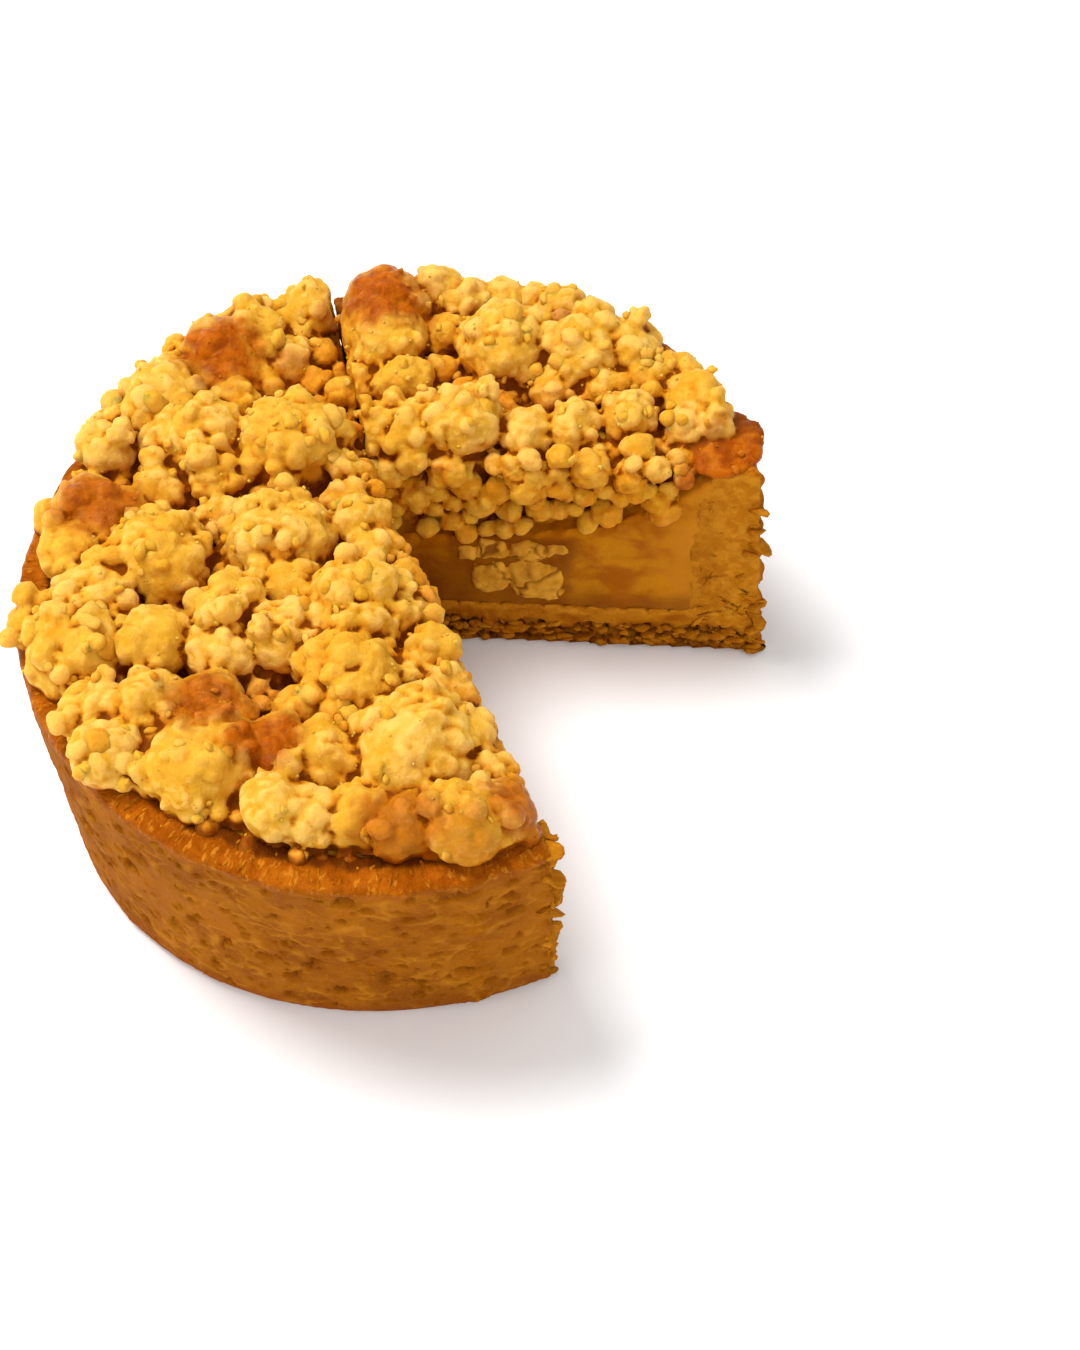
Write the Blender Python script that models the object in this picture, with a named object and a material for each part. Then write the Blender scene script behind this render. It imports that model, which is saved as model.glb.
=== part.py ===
"""A streusel tartlet with one wedge taken out, as a large piece and a slice side by side.

Each piece is a short crust cup, the filling in it and the streusel heaped on top, with
a pale chunk showing in the slice's cut face. The origin is the middle of the tart on the
surface it stands on: +X to the right, +Y to the back, +Z up. Sizes here are in
millimetres, and each mesh is made in metres.
"""

import math
import random

import bmesh
import bpy
from mathutils import Vector, noise

MM = 0.001

# Driving sizes of the crust cup
RIM_RADIUS = 55.0
BASE_SHARE = 0.93
CRUST_HEIGHT = 39.0
FLOOR_HEIGHT = 8.5
WALL_AT_FLOOR = 10.0
WALL_AT_RIM = 6.0
RIM_ROUNDING = 0.9
FOOT_ROUNDING = 1.0
RIM_WAVES = ((2, -0.036, 0.027), (3, -0.014, 0.006))
BASE_WAVES = ((2, 0.026, 0.024), (3, 0.006, 0.0))

# The three cuts: two bound the missing wedge, the third parts the slice from the rest
WEDGE_TIP = (-3.8, 19.5)
RIGHT_CUT = math.radians(-8.3)
FRONT_CUT = math.radians(-72.2)
SEAM_CUT = math.radians(99.3)
SEAM_SPREAD = math.radians(0.9)
TIP_CLEARANCE = 0.3
REST_TIP_LOSS = 1.35

# Broken flakes up the cut through the crust wall: how many, their sizes, how high
FLAKE_COUNT = 12
REST_FLAKE_SIZES = (1.8, 2.8)
REST_FLAKE_TOP = 28.0
SLICE_FLAKE_SIZES = (1.4, 2.4)
SLICE_FLAKE_TOP = 36.5

# The pale chunk: where its middle shows in the cut face, and its sizes
CHUNK_MIDDLE = 21.5
CHUNK_HEIGHT = 15.2
CHUNK_HALF_WIDTH = 5.8
CHUNK_HALF_HEIGHT = 5.2
CHUNK_DEPTH = 7.0

# Fillings and streusel
GAP = 0.3
FILLING_MIDDLE = 20.5
FILLING_RISE = 0.0048
STREUSEL_BED = 37.5
BED_ROUGHNESS = 1.6
REST_BED_INSET = 1.6
SLICE_BED_INSET = 1.5
REST_SEAM_SPACE = 1.6
SLICE_SEAM_SPACE = 0.9
LARGE_LUMP = 5.8
SMALL_LUMP = 2.9
SKIN_DETAIL = 0.6
SKIN_GAP = 0.6
LUMP_TOP = 44.8
LUMP_TOP_RISE = 0.36
LUMP_SINK = 1.0
LUMP_SQUASH = 0.86
LUMP_SHARE = 0.92
RIM_OVERHANG = 1.0
CUT_OVERHANG = 0.2
FACE_OVERHANG = 2.2
NODULES = 3
REST_CRUMBS = 34
SLICE_CRUMBS = 20
CRUMB_SIZES = (2.0, 3.4)
SEED = 11

# How finely each piece is built
REST_STEPS = 54
SLICE_STEPS = 30
REST_BED_STEPS = 26
SLICE_BED_STEPS = 14
REST_FACETS = 5200
SLICE_FACETS = 2900

# Clump positions were read off a level plane at READ_HEIGHT, seen from EYE
EYE = (25.6, -272.4, 340.7)
READ_HEIGHT = 45.0

# Clumps of the large piece: x, y and radius
REST_CLUMPS = (
    (-35, 29, 8.0), (-42, 20, 5.5), (-28, 20, 8.0), (-25, 13, 5.0), (-14, 17, 9.5),
    (-23, 27, 5.0), (-18, 30, 3.6), (-11, 30, 2.8), (-24, 46, 6.5), (-14, 44, 5.0),
    (-14, 52, 4.2), (-25, 38, 6.8), (-16, 36, 4.4), (-43, 8, 6.0), (-49, 7, 4.6),
    (-33, 11, 4.4), (-46, 0, 6.0), (-33, -3, 8.8), (-16, -1, 9.2), (-24, 4, 4.2),
    (-7, 6, 3.6), (-41, -9, 6.2), (-43, -18, 8.4), (-51, -13, 4.6), (-33, -18, 6.6),
    (-23, -13, 6.4), (-24, -20, 5.6), (-15, -18, 6.2), (-5, -15, 9.4), (-14, -10, 5.0),
    (-6, -27, 8.8), (-40, -29, 5.6), (-33, -29, 6.2), (-38, -37, 6.0), (-31, -40, 4.6),
    (-25, -39, 9.2), (-28, -46, 2.6), (-20, -47, 2.8), (-25, -29, 5.6), (-16, -37, 5.2),
    (-13, -31, 4.2), (-10, -39, 5.8), (-15, -47, 5.8), (-11, -49, 4.8), (2, -40, 10.5),
    (-5, -49, 5.2), (1, -51, 5.4), (9, -51, 6.4), (2, -26, 4.0), (6, -29, 4.2),
    (11, -37, 5.0), (14, -49, 5.6), (-3, -4, 4.2), (-9, -24, 4.0), (-36, 38, 3.6),
)

# Clumps of the slice: x, y and radius
SLICE_CLUMPS = (
    (-1, 48, 8.4), (8, 51, 4.2), (11, 45, 4.6), (17, 46, 4.4), (22, 46, 3.9),
    (27, 45, 4.0), (-1, 38, 6.2), (-5, 29, 3.8), (2, 29, 5.0), (-4, 34, 3.4),
    (7, 31, 3.2), (7, 25, 2.6), (11, 26, 3.0), (17, 35, 8.2), (28, 33, 7.8),
    (35, 33, 6.0), (23, 25, 3.8), (31, 25, 4.0), (37, 27, 4.4), (43, 28, 4.0),
    (46, 23, 5.0), (46, 17, 4.2), (42, 16, 3.8), (34, 19, 4.6), (26, 18, 4.4),
    (19, 17, 4.4), (10, 20, 6.4), (3, 19, 5.4), (-2, 20, 4.6), (8, 38, 4.0),
)

# Crumbs on the slice's cut face: distance from the tip, height and radius
FACE_CRUMBS = (
    (4, 33, 4.2), (10, 28, 4.0), (11, 36, 4.4), (18, 35, 4.2), (17, 28, 4.4),
    (23, 33, 4.6), (25, 27.5, 3.0), (29, 37, 3.0), (32, 34, 4.4), (30, 28.6, 2.4),
    (36, 30.6, 3.2), (38, 36, 3.4), (42, 34, 3.0),
)

CRUST_COLOUR = (0.55, 0.23, 0.045)
FILLING_COLOUR = (0.50, 0.22, 0.02)
STREUSEL_COLOUR = (0.83, 0.55, 0.13)
MARZIPAN_COLOUR = (0.66, 0.44, 0.13)


def clear_scene():
    for item in list(bpy.data.objects):
        bpy.data.objects.remove(item, do_unlink=True)


def make_material(name, colour, roughness):
    material = bpy.data.materials.new(name)
    material.use_nodes = True
    shader = material.node_tree.nodes["Principled BSDF"]
    shader.inputs["Base Color"].default_value = (*colour, 1.0)
    shader.inputs["Roughness"].default_value = roughness
    shader.inputs["Metallic"].default_value = 0.0
    return material


def wave(angle, waves):
    """How far an outline stands out at this angle, as a share of its radius."""
    total = 1.0
    for count, cosine, sine in waves:
        total += cosine * math.cos(count * angle) + sine * math.sin(count * angle)
    return total


def outline(angle, height):
    """Radius of the crust's outside, which flares from its base to its rim."""
    share = min(1.0, height / CRUST_HEIGHT)
    base = BASE_SHARE * wave(angle, BASE_WAVES)
    rim = wave(angle, RIM_WAVES)
    return RIM_RADIUS * (base + (rim - base) * share)


def wall_at(height):
    """Thickness of the crust wall, which thins towards its rim."""
    share = max(0.0, min(1.0, (height - FLOOR_HEIGHT) / (CRUST_HEIGHT - FLOOR_HEIGHT)))
    return WALL_AT_FLOOR + (WALL_AT_RIM - WALL_AT_FLOOR) * share**4


def reach(apex, heading, height, inset):
    """Distance from the apex, along a heading, to the outline moved in by inset."""
    cosine = math.cos(heading)
    sine = math.sin(heading)
    along = apex[0] * cosine + apex[1] * sine
    across = apex[0] ** 2 + apex[1] ** 2 - along**2
    angle = heading
    distance = 0.0
    for _ in range(8):
        radius = outline(angle, height) - inset
        distance = math.sqrt(radius**2 - across) - along
        angle = math.atan2(apex[1] + distance * sine, apex[0] + distance * cosine)
    return distance


def step(point, heading, distance):
    return (
        point[0] + distance * math.cos(heading),
        point[1] + distance * math.sin(heading),
    )


def fan(apex, first, last, count):
    """Headings from first to last that space the rim evenly."""
    ends = []
    for heading in (first, last):
        x, y = step(apex, heading, reach(apex, heading, CRUST_HEIGHT, 0.0))
        ends.append(math.atan2(y, x))
    if ends[1] < ends[0]:
        ends[1] += math.tau
    headings = []
    for index in range(count + 1):
        angle = ends[0] + (ends[1] - ends[0]) * index / count
        radius = outline(angle, CRUST_HEIGHT)
        x = radius * math.cos(angle) - apex[0]
        y = radius * math.sin(angle) - apex[1]
        headings.append(math.atan2(y, x))
    headings[0] = first
    headings[-1] = last
    return headings


SLICE_APEX = step(WEDGE_TIP, RIGHT_CUT, TIP_CLEARANCE)
REST_APEX = step(WEDGE_TIP, FRONT_CUT, -REST_TIP_LOSS)
SLICE_SPAN = (RIGHT_CUT, SEAM_CUT - SEAM_SPREAD)
REST_SPAN = (SEAM_CUT + SEAM_SPREAD, FRONT_CUT + math.tau)


def object_from(bm, name, material=None):
    bmesh.ops.recalc_face_normals(bm, faces=bm.faces)
    mesh = bpy.data.meshes.new(name)
    bm.to_mesh(mesh)
    bm.free()
    item = bpy.data.objects.new(name, mesh)
    bpy.context.scene.collection.objects.link(item)
    if material:
        mesh.materials.append(material)
    return item


def sweep(apex, headings, section):
    """A closed mesh that turns a cross-section round the upright line at the apex."""
    bm = bmesh.new()
    rings = []
    poles = None
    for heading in headings:
        profile = section(apex, heading)
        if poles is None:
            poles = [
                bm.verts.new((apex[0] * MM, apex[1] * MM, profile[end][1] * MM))
                for end in (0, -1)
            ]
        ring = [poles[0]]
        for distance, height in profile[1:-1]:
            x, y = step(apex, heading, distance)
            ring.append(bm.verts.new((x * MM, y * MM, height * MM)))
        ring.append(poles[1])
        rings.append(ring)
    for one, two in zip(rings, rings[1:]):
        for index in range(len(one) - 1):
            corners = [one[index], one[index + 1], two[index + 1], two[index]]
            bm.faces.new(list(dict.fromkeys(corners)))
    bm.faces.new(rings[0])
    bm.faces.new(rings[-1])
    bmesh.ops.triangulate(bm, faces=bm.faces, ngon_method="BEAUTY")
    return bm


def crag(x, y, height, amount, size):
    """Uneven baked surface: a smooth bump field plus small sharp hollows."""
    place = Vector((x / size, y / size, height / size))
    hollow = max(0.0, noise.noise(place * 2.3 + Vector((7, 3, 1))) - 0.22)
    return amount * (0.1 + noise.noise(place) - 2.5 * hollow)


def crust_section(apex, heading):
    """Underside, craggy outer wall, rim, inner wall and floor."""
    points = [(0.0, 0.0)]
    foot = reach(apex, heading, 0.0, FOOT_ROUNDING)
    points.append((foot * 0.6, 0.0))
    points.append((foot, 0.0))
    rows = 8
    for row in range(rows):
        low = FOOT_ROUNDING
        height = low + (CRUST_HEIGHT - RIM_ROUNDING - low) * row / (rows - 1)
        distance = reach(apex, heading, height, 0.0)
        x, y = step(apex, heading, distance)
        points.append((distance + crag(x, y, height, 0.45, 4.0), height))
    rim_out = reach(apex, heading, CRUST_HEIGHT, RIM_ROUNDING)
    x, y = step(apex, heading, rim_out)
    points.append((rim_out, CRUST_HEIGHT - 0.15 + crag(x, y, 0, 0.25, 3.0)))
    rim_mid = reach(apex, heading, CRUST_HEIGHT, WALL_AT_RIM * 0.55)
    x, y = step(apex, heading, rim_mid)
    points.append((rim_mid, CRUST_HEIGHT - 0.1 + crag(x, y, 9, 0.35, 3.0)))
    for height in (CRUST_HEIGHT - 0.35, 34.0, 26.0, FLOOR_HEIGHT):
        points.append((reach(apex, heading, height, wall_at(height)), height))
    points.append((0.0, FLOOR_HEIGHT))
    return points


def filling_top(apex, heading, distance):
    """The filling lies lower in the middle of the tart than near the wall."""
    x, y = step(apex, heading, distance)
    return FILLING_MIDDLE + FILLING_RISE * (x * x + y * y)


def filling_section(apex, heading):
    low = FLOOR_HEIGHT + GAP
    points = [(0.0, low)]
    edge = 0.0
    for height in (low, 17.0, 26.0):
        edge = reach(apex, heading, height, wall_at(height) + GAP)
        points.append((edge, height))
    for share in (0.98, 0.66, 0.33, 0.0):
        distance = edge * share
        points.append((distance, filling_top(apex, heading, distance)))
    return points


def bed_section(apex, heading):
    """The core under the clumps, from the filling to the bottom of the crevices."""
    points = []
    edge = reach(apex, heading, 30.0, wall_at(30.0) + GAP)
    for share in (0.0, 0.33, 0.66, 0.985):
        distance = edge * share
        points.append((distance, filling_top(apex, heading, distance) + SKIN_GAP))
    points.append((reach(apex, heading, 34.0, wall_at(34.0) + GAP + 0.2), 34.0))
    for share in (0.985, 0.66, 0.33, 0.0):
        distance = edge * share
        x, y = step(apex, heading, distance)
        bump = 0.0
        if share > 0.0:
            bump = BED_ROUGHNESS * noise.noise(Vector((x, y, 0)) / 6.0)
        points.append((distance, STREUSEL_BED + bump))
    return points


def settle(x, y, height):
    """Moves a place read at READ_HEIGHT along its line of sight to another height."""
    share = (EYE[2] - height) / (EYE[2] - READ_HEIGHT)
    return EYE[0] + (x - EYE[0]) * share, EYE[1] + (y - EYE[1]) * share


def tuck(x, y, radius, cut, side):
    """Pulls a clump in, so that it stands out little past the rim and past the cut."""
    limit = outline(math.atan2(y, x), CRUST_HEIGHT) + RIM_OVERHANG - radius
    share = min(1.0, limit / max(1.0, math.hypot(x, y)))
    x *= share
    y *= share
    dx = x - WEDGE_TIP[0]
    dy = y - WEDGE_TIP[1]
    ahead = dx * math.cos(cut) + dy * math.sin(cut)
    past = side * (dy * math.cos(cut) - dx * math.sin(cut)) + radius - CUT_OVERHANG
    if ahead > 0 and past > 0:
        x, y = step((x, y), cut + math.pi / 2, -side * past)
    return x, y


def lump(centre, radius, height_radius, draw):
    """One crumb or clump: a few-sided ball with uneven sides."""
    bm = bmesh.new()
    bmesh.ops.create_icosphere(bm, subdivisions=1 + (radius > SMALL_LUMP), radius=1.0)
    turn = draw.uniform(0, math.tau)
    shift = Vector([draw.uniform(0, 90) for _ in range(3)])
    for vert in bm.verts:
        bulge = 1.0 + 0.22 * noise.noise(vert.co * 1.7 + shift)
        x = vert.co.x * math.cos(turn) - vert.co.y * math.sin(turn)
        y = vert.co.x * math.sin(turn) + vert.co.y * math.cos(turn)
        vert.co = (
            (centre[0] + x * radius * bulge) * MM,
            (centre[1] + y * radius * bulge) * MM,
            (centre[2] + vert.co.z * height_radius * bulge) * MM,
        )
    return object_from(bm, "lump")


def clump_lumps(clumps, cut, side, draw):
    """Each clump is one large lump, and the big ones carry a few nodules."""
    lumps = []
    for x, y, full_radius in clumps:
        radius = full_radius * LUMP_SHARE
        tall = radius * LUMP_SQUASH
        height = LUMP_TOP + LUMP_TOP_RISE * radius - tall
        height = min(height, STREUSEL_BED - LUMP_SINK + tall)
        px, py = tuck(*settle(x, y, height), radius, cut, side)
        lumps.append(lump((px, py, height), radius, tall, draw))
        if radius < LARGE_LUMP:
            continue
        for _ in range(NODULES):
            turn = draw.uniform(0, math.tau)
            lift = draw.uniform(0.2, 0.75)
            level = math.sqrt(1 - lift * lift) * radius * 0.72
            size = radius * draw.uniform(0.36, 0.48)
            nodule = (
                px + level * math.cos(turn),
                py + level * math.sin(turn),
                height + lift * tall * 0.72,
            )
            lumps.append(lump(nodule, size, size, draw))
    return lumps


def loose_crumbs(apex, span, clumps, count, draw):
    """Small crumbs on the bed, in the spaces that the clumps leave."""
    crumbs = []
    while len(crumbs) < count:
        heading = draw.uniform(span[0] + 0.06, span[1] - 0.06)
        edge = reach(apex, heading, CRUST_HEIGHT, WALL_AT_RIM)
        x, y = step(apex, heading, edge * math.sqrt(draw.uniform(0.01, 1.0)))
        size = draw.uniform(*CRUMB_SIZES)
        spaces = [math.hypot(x - cx, y - cy) - 0.8 * radius for cx, cy, radius in clumps]
        if min(spaces) > 0:
            crumbs.append(lump((x, y, STREUSEL_BED + 0.45 * size), size, size, draw))
    return crumbs


def largest_body(item):
    """Drops loose scraps and sealed hollows, so one closed body is left."""
    bm = bmesh.new()
    bm.from_mesh(item.data)
    left = set(bm.verts)
    bodies = []
    while left:
        stack = [left.pop()]
        body = set(stack)
        while stack:
            for edge in stack.pop().link_edges:
                for vert in edge.verts:
                    if vert in left:
                        left.discard(vert)
                        body.add(vert)
                        stack.append(vert)
        bodies.append(body)
    keep = max(bodies, key=len)
    scraps = [vert for vert in bm.verts if vert not in keep]
    bmesh.ops.delete(bm, geom=scraps, context="VERTS")
    bm.to_mesh(item.data)
    bm.free()


def apply_modifiers(item):
    graph = bpy.context.evaluated_depsgraph_get()
    mesh = bpy.data.meshes.new_from_object(item.evaluated_get(graph))
    item.modifiers.clear()
    item.data = mesh


def remove(item):
    bpy.data.objects.remove(item, do_unlink=True)


def fuse(item, pieces):
    """Joins all the pieces to the item by one union on their collection."""
    group = bpy.data.collections.new("pieces to fuse")
    bpy.context.scene.collection.children.link(group)
    for piece in pieces:
        bpy.context.scene.collection.objects.unlink(piece)
        group.objects.link(piece)
    union = item.modifiers.new("union", "BOOLEAN")
    union.operation = "UNION"
    union.operand_type = "COLLECTION"
    union.collection = group
    union.solver = "EXACT"
    apply_modifiers(item)
    for piece in pieces:
        remove(piece)
    bpy.data.collections.remove(group)


def carve(item, cutter):
    cutter.hide_render = True
    cutter.display_type = "WIRE"
    cut = item.modifiers.new("cut", "BOOLEAN")
    cut.operation = "DIFFERENCE"
    cut.object = cutter
    cut.solver = "MANIFOLD"
    apply_modifiers(item)
    remove(cutter)


def thin_out(item, triangles):
    """Rebuilds a fused heap as one even skin, then keeps only so many triangles."""
    skin = item.modifiers.new("one skin", "REMESH")
    skin.mode = "VOXEL"
    skin.voxel_size = SKIN_DETAIL * MM
    apply_modifiers(item)
    thin = item.modifiers.new("fewer facets", "DECIMATE")
    thin.ratio = triangles / (2 * len(item.data.polygons))
    thin.use_collapse_triangulate = True
    apply_modifiers(item)


def wall_guard():
    """The space that the streusel keeps free: the crust wall and a gap round it."""
    bm = bmesh.new()
    rings = []
    count = 60
    for index in range(count):
        angle = math.tau * index / count
        ring = []
        for height in (15.0, 30.0, 34.0, CRUST_HEIGHT + GAP):
            radius = outline(angle, height) - wall_at(height) - GAP
            ring.append((radius, height))
        far = outline(angle, CRUST_HEIGHT) + 6.0
        ring.append((far, CRUST_HEIGHT + GAP))
        ring.append((far, 15.0))
        rings.append([
            bm.verts.new((r * math.cos(angle) * MM, r * math.sin(angle) * MM, z * MM))
            for r, z in ring
        ])
    for index in range(count):
        one = rings[index]
        two = rings[(index + 1) % count]
        for row in range(len(one)):
            nxt = (row + 1) % len(one)
            bm.faces.new((one[row], one[nxt], two[nxt], two[row]))
    return object_from(bm, "wall guard")


def seam_guard(offset, side):
    """A block on one side of the seam, its face moved off the seam by offset."""
    bm = bmesh.new()
    bmesh.ops.create_cube(bm, size=1.0)
    item = object_from(bm, "seam guard")
    length = 60.0
    width = 80.0
    middle = step(WEDGE_TIP, SEAM_CUT, length / 2 - 2.0)
    across = SEAM_CUT + math.pi / 2
    middle = step(middle, across, offset + side * width / 2)
    for vert in item.data.vertices:
        x, y, z = vert.co
        place = step(step(middle, SEAM_CUT, x * length), across, y * width)
        vert.co = (place[0] * MM, place[1] * MM, (35.0 + z * 60.0) * MM)
    return item


def add_flakes(item, apex, heading, sizes, top):
    """Thin broken flakes of pastry up the cut through the crust wall."""
    draw = random.Random(item.name)
    material = item.data.materials[0]
    made = []
    low = 3.0
    for index in range(FLAKE_COUNT):
        height = low + (top - low) * index / (FLAKE_COUNT - 1)
        wall = reach(apex, heading, height, 0.0)
        size = draw.uniform(*sizes)
        inset = size + draw.uniform(0.2, 0.8)
        if index % 2:
            inset = wall_at(height) - size - draw.uniform(0.2, 0.8)
        x, y = step(apex, heading, wall - inset)
        x, y = step((x, y), draw.uniform(0, math.tau), 0.5)
        made.append(lump((x, y, height), size, size * 0.38, draw))
    fuse(item, made)
    largest_body(item)
    item.data.materials.clear()
    item.data.materials.append(material)


def build_crust(name, apex, headings, material):
    return object_from(sweep(apex, headings, crust_section), name, material)


def build_filling(name, apex, headings, material):
    return object_from(sweep(apex, headings, filling_section), name, material)


def build_streusel(name, core, lumps, guard, triangles, material):
    """A heap of clumps on its bed, kept off the crust wall and off the seam."""
    item = object_from(core, name)
    fuse(item, lumps)
    largest_body(item)
    thin_out(item, triangles)
    carve(item, wall_guard())
    carve(item, guard)
    largest_body(item)
    item.data.materials.clear()
    item.data.materials.append(material)
    return item


def face_crumbs(draw):
    """Crumbs that stand out of the slice's cut face."""
    made = []
    for distance, height, radius in FACE_CRUMBS:
        x, y = step(WEDGE_TIP, RIGHT_CUT, distance)
        x, y = step((x, y), RIGHT_CUT + math.pi / 2, radius - FACE_OVERHANG)
        made.append(lump((x, y, height), radius, radius * 0.9, draw))
    return made


def chunk_mesh(grow):
    """The pale chunk in the cut face: an uneven block that narrows inwards."""
    sides = 11
    bm = bmesh.new()
    rings = []
    front = -1.0 if grow else 0.0
    for back, share in ((front, 1.0), (CHUNK_DEPTH * 0.6, 0.94), (CHUNK_DEPTH + grow, 0.66)):
        ring = []
        for index in range(sides):
            turn = math.tau * index / sides
            uneven = 1.0 + 0.11 * math.sin(3 * turn + 1.0) + 0.06 * math.sin(5 * turn)
            across = (CHUNK_HALF_WIDTH * uneven * share + grow) * math.cos(turn)
            rise = (CHUNK_HALF_HEIGHT * uneven * share + grow) * math.sin(turn)
            x, y = step(WEDGE_TIP, RIGHT_CUT, CHUNK_MIDDLE + across)
            x, y = step((x, y), RIGHT_CUT + math.pi / 2, back)
            ring.append(bm.verts.new((x * MM, y * MM, (CHUNK_HEIGHT + rise) * MM)))
        rings.append(ring)
    for one, two in zip(rings, rings[1:]):
        for index in range(sides):
            nxt = (index + 1) % sides
            bm.faces.new((one[index], one[nxt], two[nxt], two[index]))
    bm.faces.new(rings[0])
    bm.faces.new(rings[-1])
    return bm


def main():
    clear_scene()
    crust = make_material("baked crust", CRUST_COLOUR, 0.55)
    filling = make_material("amber filling", FILLING_COLOUR, 0.35)
    streusel = make_material("golden streusel", STREUSEL_COLOUR, 0.6)
    marzipan = make_material("pale marzipan", MARZIPAN_COLOUR, 0.6)

    headings = fan(REST_APEX, *REST_SPAN, REST_STEPS)
    item = build_crust("crust_rest", REST_APEX, headings, crust)
    add_flakes(item, REST_APEX, FRONT_CUT, REST_FLAKE_SIZES, REST_FLAKE_TOP)
    build_filling("filling_rest", REST_APEX, headings[::2], filling)

    headings = fan(SLICE_APEX, *SLICE_SPAN, SLICE_STEPS)
    item = build_crust("crust_slice", SLICE_APEX, headings, crust)
    add_flakes(item, SLICE_APEX, RIGHT_CUT, SLICE_FLAKE_SIZES, SLICE_FLAKE_TOP)
    item = build_filling("filling_slice", SLICE_APEX, headings[::2], filling)
    carve(item, object_from(chunk_mesh(GAP), "pocket"))
    object_from(chunk_mesh(0.0), "marzipan_chunk", marzipan)

    draw = random.Random(SEED)
    apex = step(REST_APEX, math.pi, REST_BED_INSET)
    core = sweep(apex, fan(apex, *REST_SPAN, REST_BED_STEPS), bed_section)
    lumps = clump_lumps(REST_CLUMPS, FRONT_CUT, 1, draw)
    lumps += loose_crumbs(apex, REST_SPAN, REST_CLUMPS, REST_CRUMBS, draw)
    guard = seam_guard(REST_SEAM_SPACE, -1)
    build_streusel("streusel_rest", core, lumps, guard, REST_FACETS, streusel)

    apex = step(SLICE_APEX, sum(SLICE_SPAN) / 2, SLICE_BED_INSET)
    core = sweep(apex, fan(apex, *SLICE_SPAN, SLICE_BED_STEPS), bed_section)
    lumps = clump_lumps(SLICE_CLUMPS, RIGHT_CUT, -1, draw)
    lumps += loose_crumbs(apex, SLICE_SPAN, SLICE_CLUMPS, SLICE_CRUMBS, draw)
    lumps += face_crumbs(draw)
    guard = seam_guard(SLICE_SEAM_SPACE, 1)
    build_streusel("streusel_slice", core, lumps, guard, SLICE_FACETS, streusel)


main()
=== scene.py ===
"""Looks of the streusel tartlet: baked crust, amber filling, marzipan and golden streusel.

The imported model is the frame, in metres. Sizes below are in millimetres, in the same axes:
+X to the right, +Y to the back, +Z up, with the tart's middle on the floor at the origin.
"""

import math
import random

import bmesh
import bpy
import numpy as np
from mathutils import Matrix, Vector, noise
from mathutils.kdtree import KDTree


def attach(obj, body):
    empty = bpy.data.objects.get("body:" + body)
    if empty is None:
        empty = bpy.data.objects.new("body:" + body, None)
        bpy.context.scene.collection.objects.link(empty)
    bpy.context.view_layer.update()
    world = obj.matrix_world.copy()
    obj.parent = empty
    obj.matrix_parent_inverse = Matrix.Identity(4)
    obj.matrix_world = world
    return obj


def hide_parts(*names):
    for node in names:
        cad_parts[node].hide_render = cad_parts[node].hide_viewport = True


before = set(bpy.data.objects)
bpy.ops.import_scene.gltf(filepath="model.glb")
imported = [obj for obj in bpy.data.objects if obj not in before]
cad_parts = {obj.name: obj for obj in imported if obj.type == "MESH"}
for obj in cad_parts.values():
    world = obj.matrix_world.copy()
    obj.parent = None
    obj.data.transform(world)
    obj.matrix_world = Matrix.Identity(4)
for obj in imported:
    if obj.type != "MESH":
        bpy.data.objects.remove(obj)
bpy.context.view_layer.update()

MM = 0.001

# Crust cup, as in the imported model
RIM_RADIUS = 55.0
BASE_SHARE = 0.93
CRUST_HEIGHT = 39.0
FLOOR_HEIGHT = 8.5
WALL_AT_FLOOR = 10.0
WALL_AT_RIM = 6.0
RIM_WAVES = ((2, -0.036, 0.027), (3, -0.014, 0.006))
BASE_WAVES = ((2, 0.026, 0.024), (3, 0.006, 0.0))
WEDGE_TIP = (-3.8, 19.5)
RIGHT_CUT = math.radians(-8.3)
FRONT_CUT = math.radians(-72.2)
SEAM_CUT = math.radians(99.3)
SEAM_SPREAD = math.radians(0.25)

# The radius at which the crust's wall is rolled out flat for its pattern
ARC_RADIUS = 52.0

# Filling: height of its middle, how it rises outwards, and how it climbs the wall
FILLING_MIDDLE = 20.5
FILLING_RISE = 0.0048
CLIMB_START = 37.0
CLIMB_WIDTH = 13.0
CLIMB_HEIGHT = 8.5
FILLING_LIMIT = 37.6

# The camera as in the photo: place, lens, and its turns in degrees
EYE = (25.6, -272.4, 340.7)
LENS = 77.23
PITCH = 50.376
YAW = -1.505
ROLL = -5.031

# The level on which the places below were read, seen from the camera, and the level
# that the browned ones lie on
READ_HEIGHT = 45.0
BROWNED_HEIGHT = 44.0

# Streusel: height of its underside, usual height of a clump, the radius under which a
# clump is a plain ball, how knobbly it is from where it has lobes, the turn from one
# lobe to the next, how far a bump may lie off the heap, and where the cut faces end
STREUSEL_BED = 37.5
CLUMP_TOP = 44.8
PLAIN_RADIUS = 1.7
LOBES_FROM = 0.3
LOBE_TURN = 2.39996
BUMP_REACH = 2.2
FACE_TOP = 40.5

# How fine the meshes are
HEAP_DETAIL = 0.38
CRUST_DETAIL = 0.46
FILLING_DETAIL = 0.6
BLOCK_DETAIL = 0.3
HEAP_TRIANGLES = 190000
CRUST_TRIANGLES = 150000

# Half widths of the loose crumbs and of the grains, and where the random draws start
CRUMB_SIZES = (0.45, 1.0)
GRAIN_SIZES = (0.16, 0.34)
SEED = 7

# Strength of the even light from all around
ROOM_LIGHT = 0.56

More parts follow.
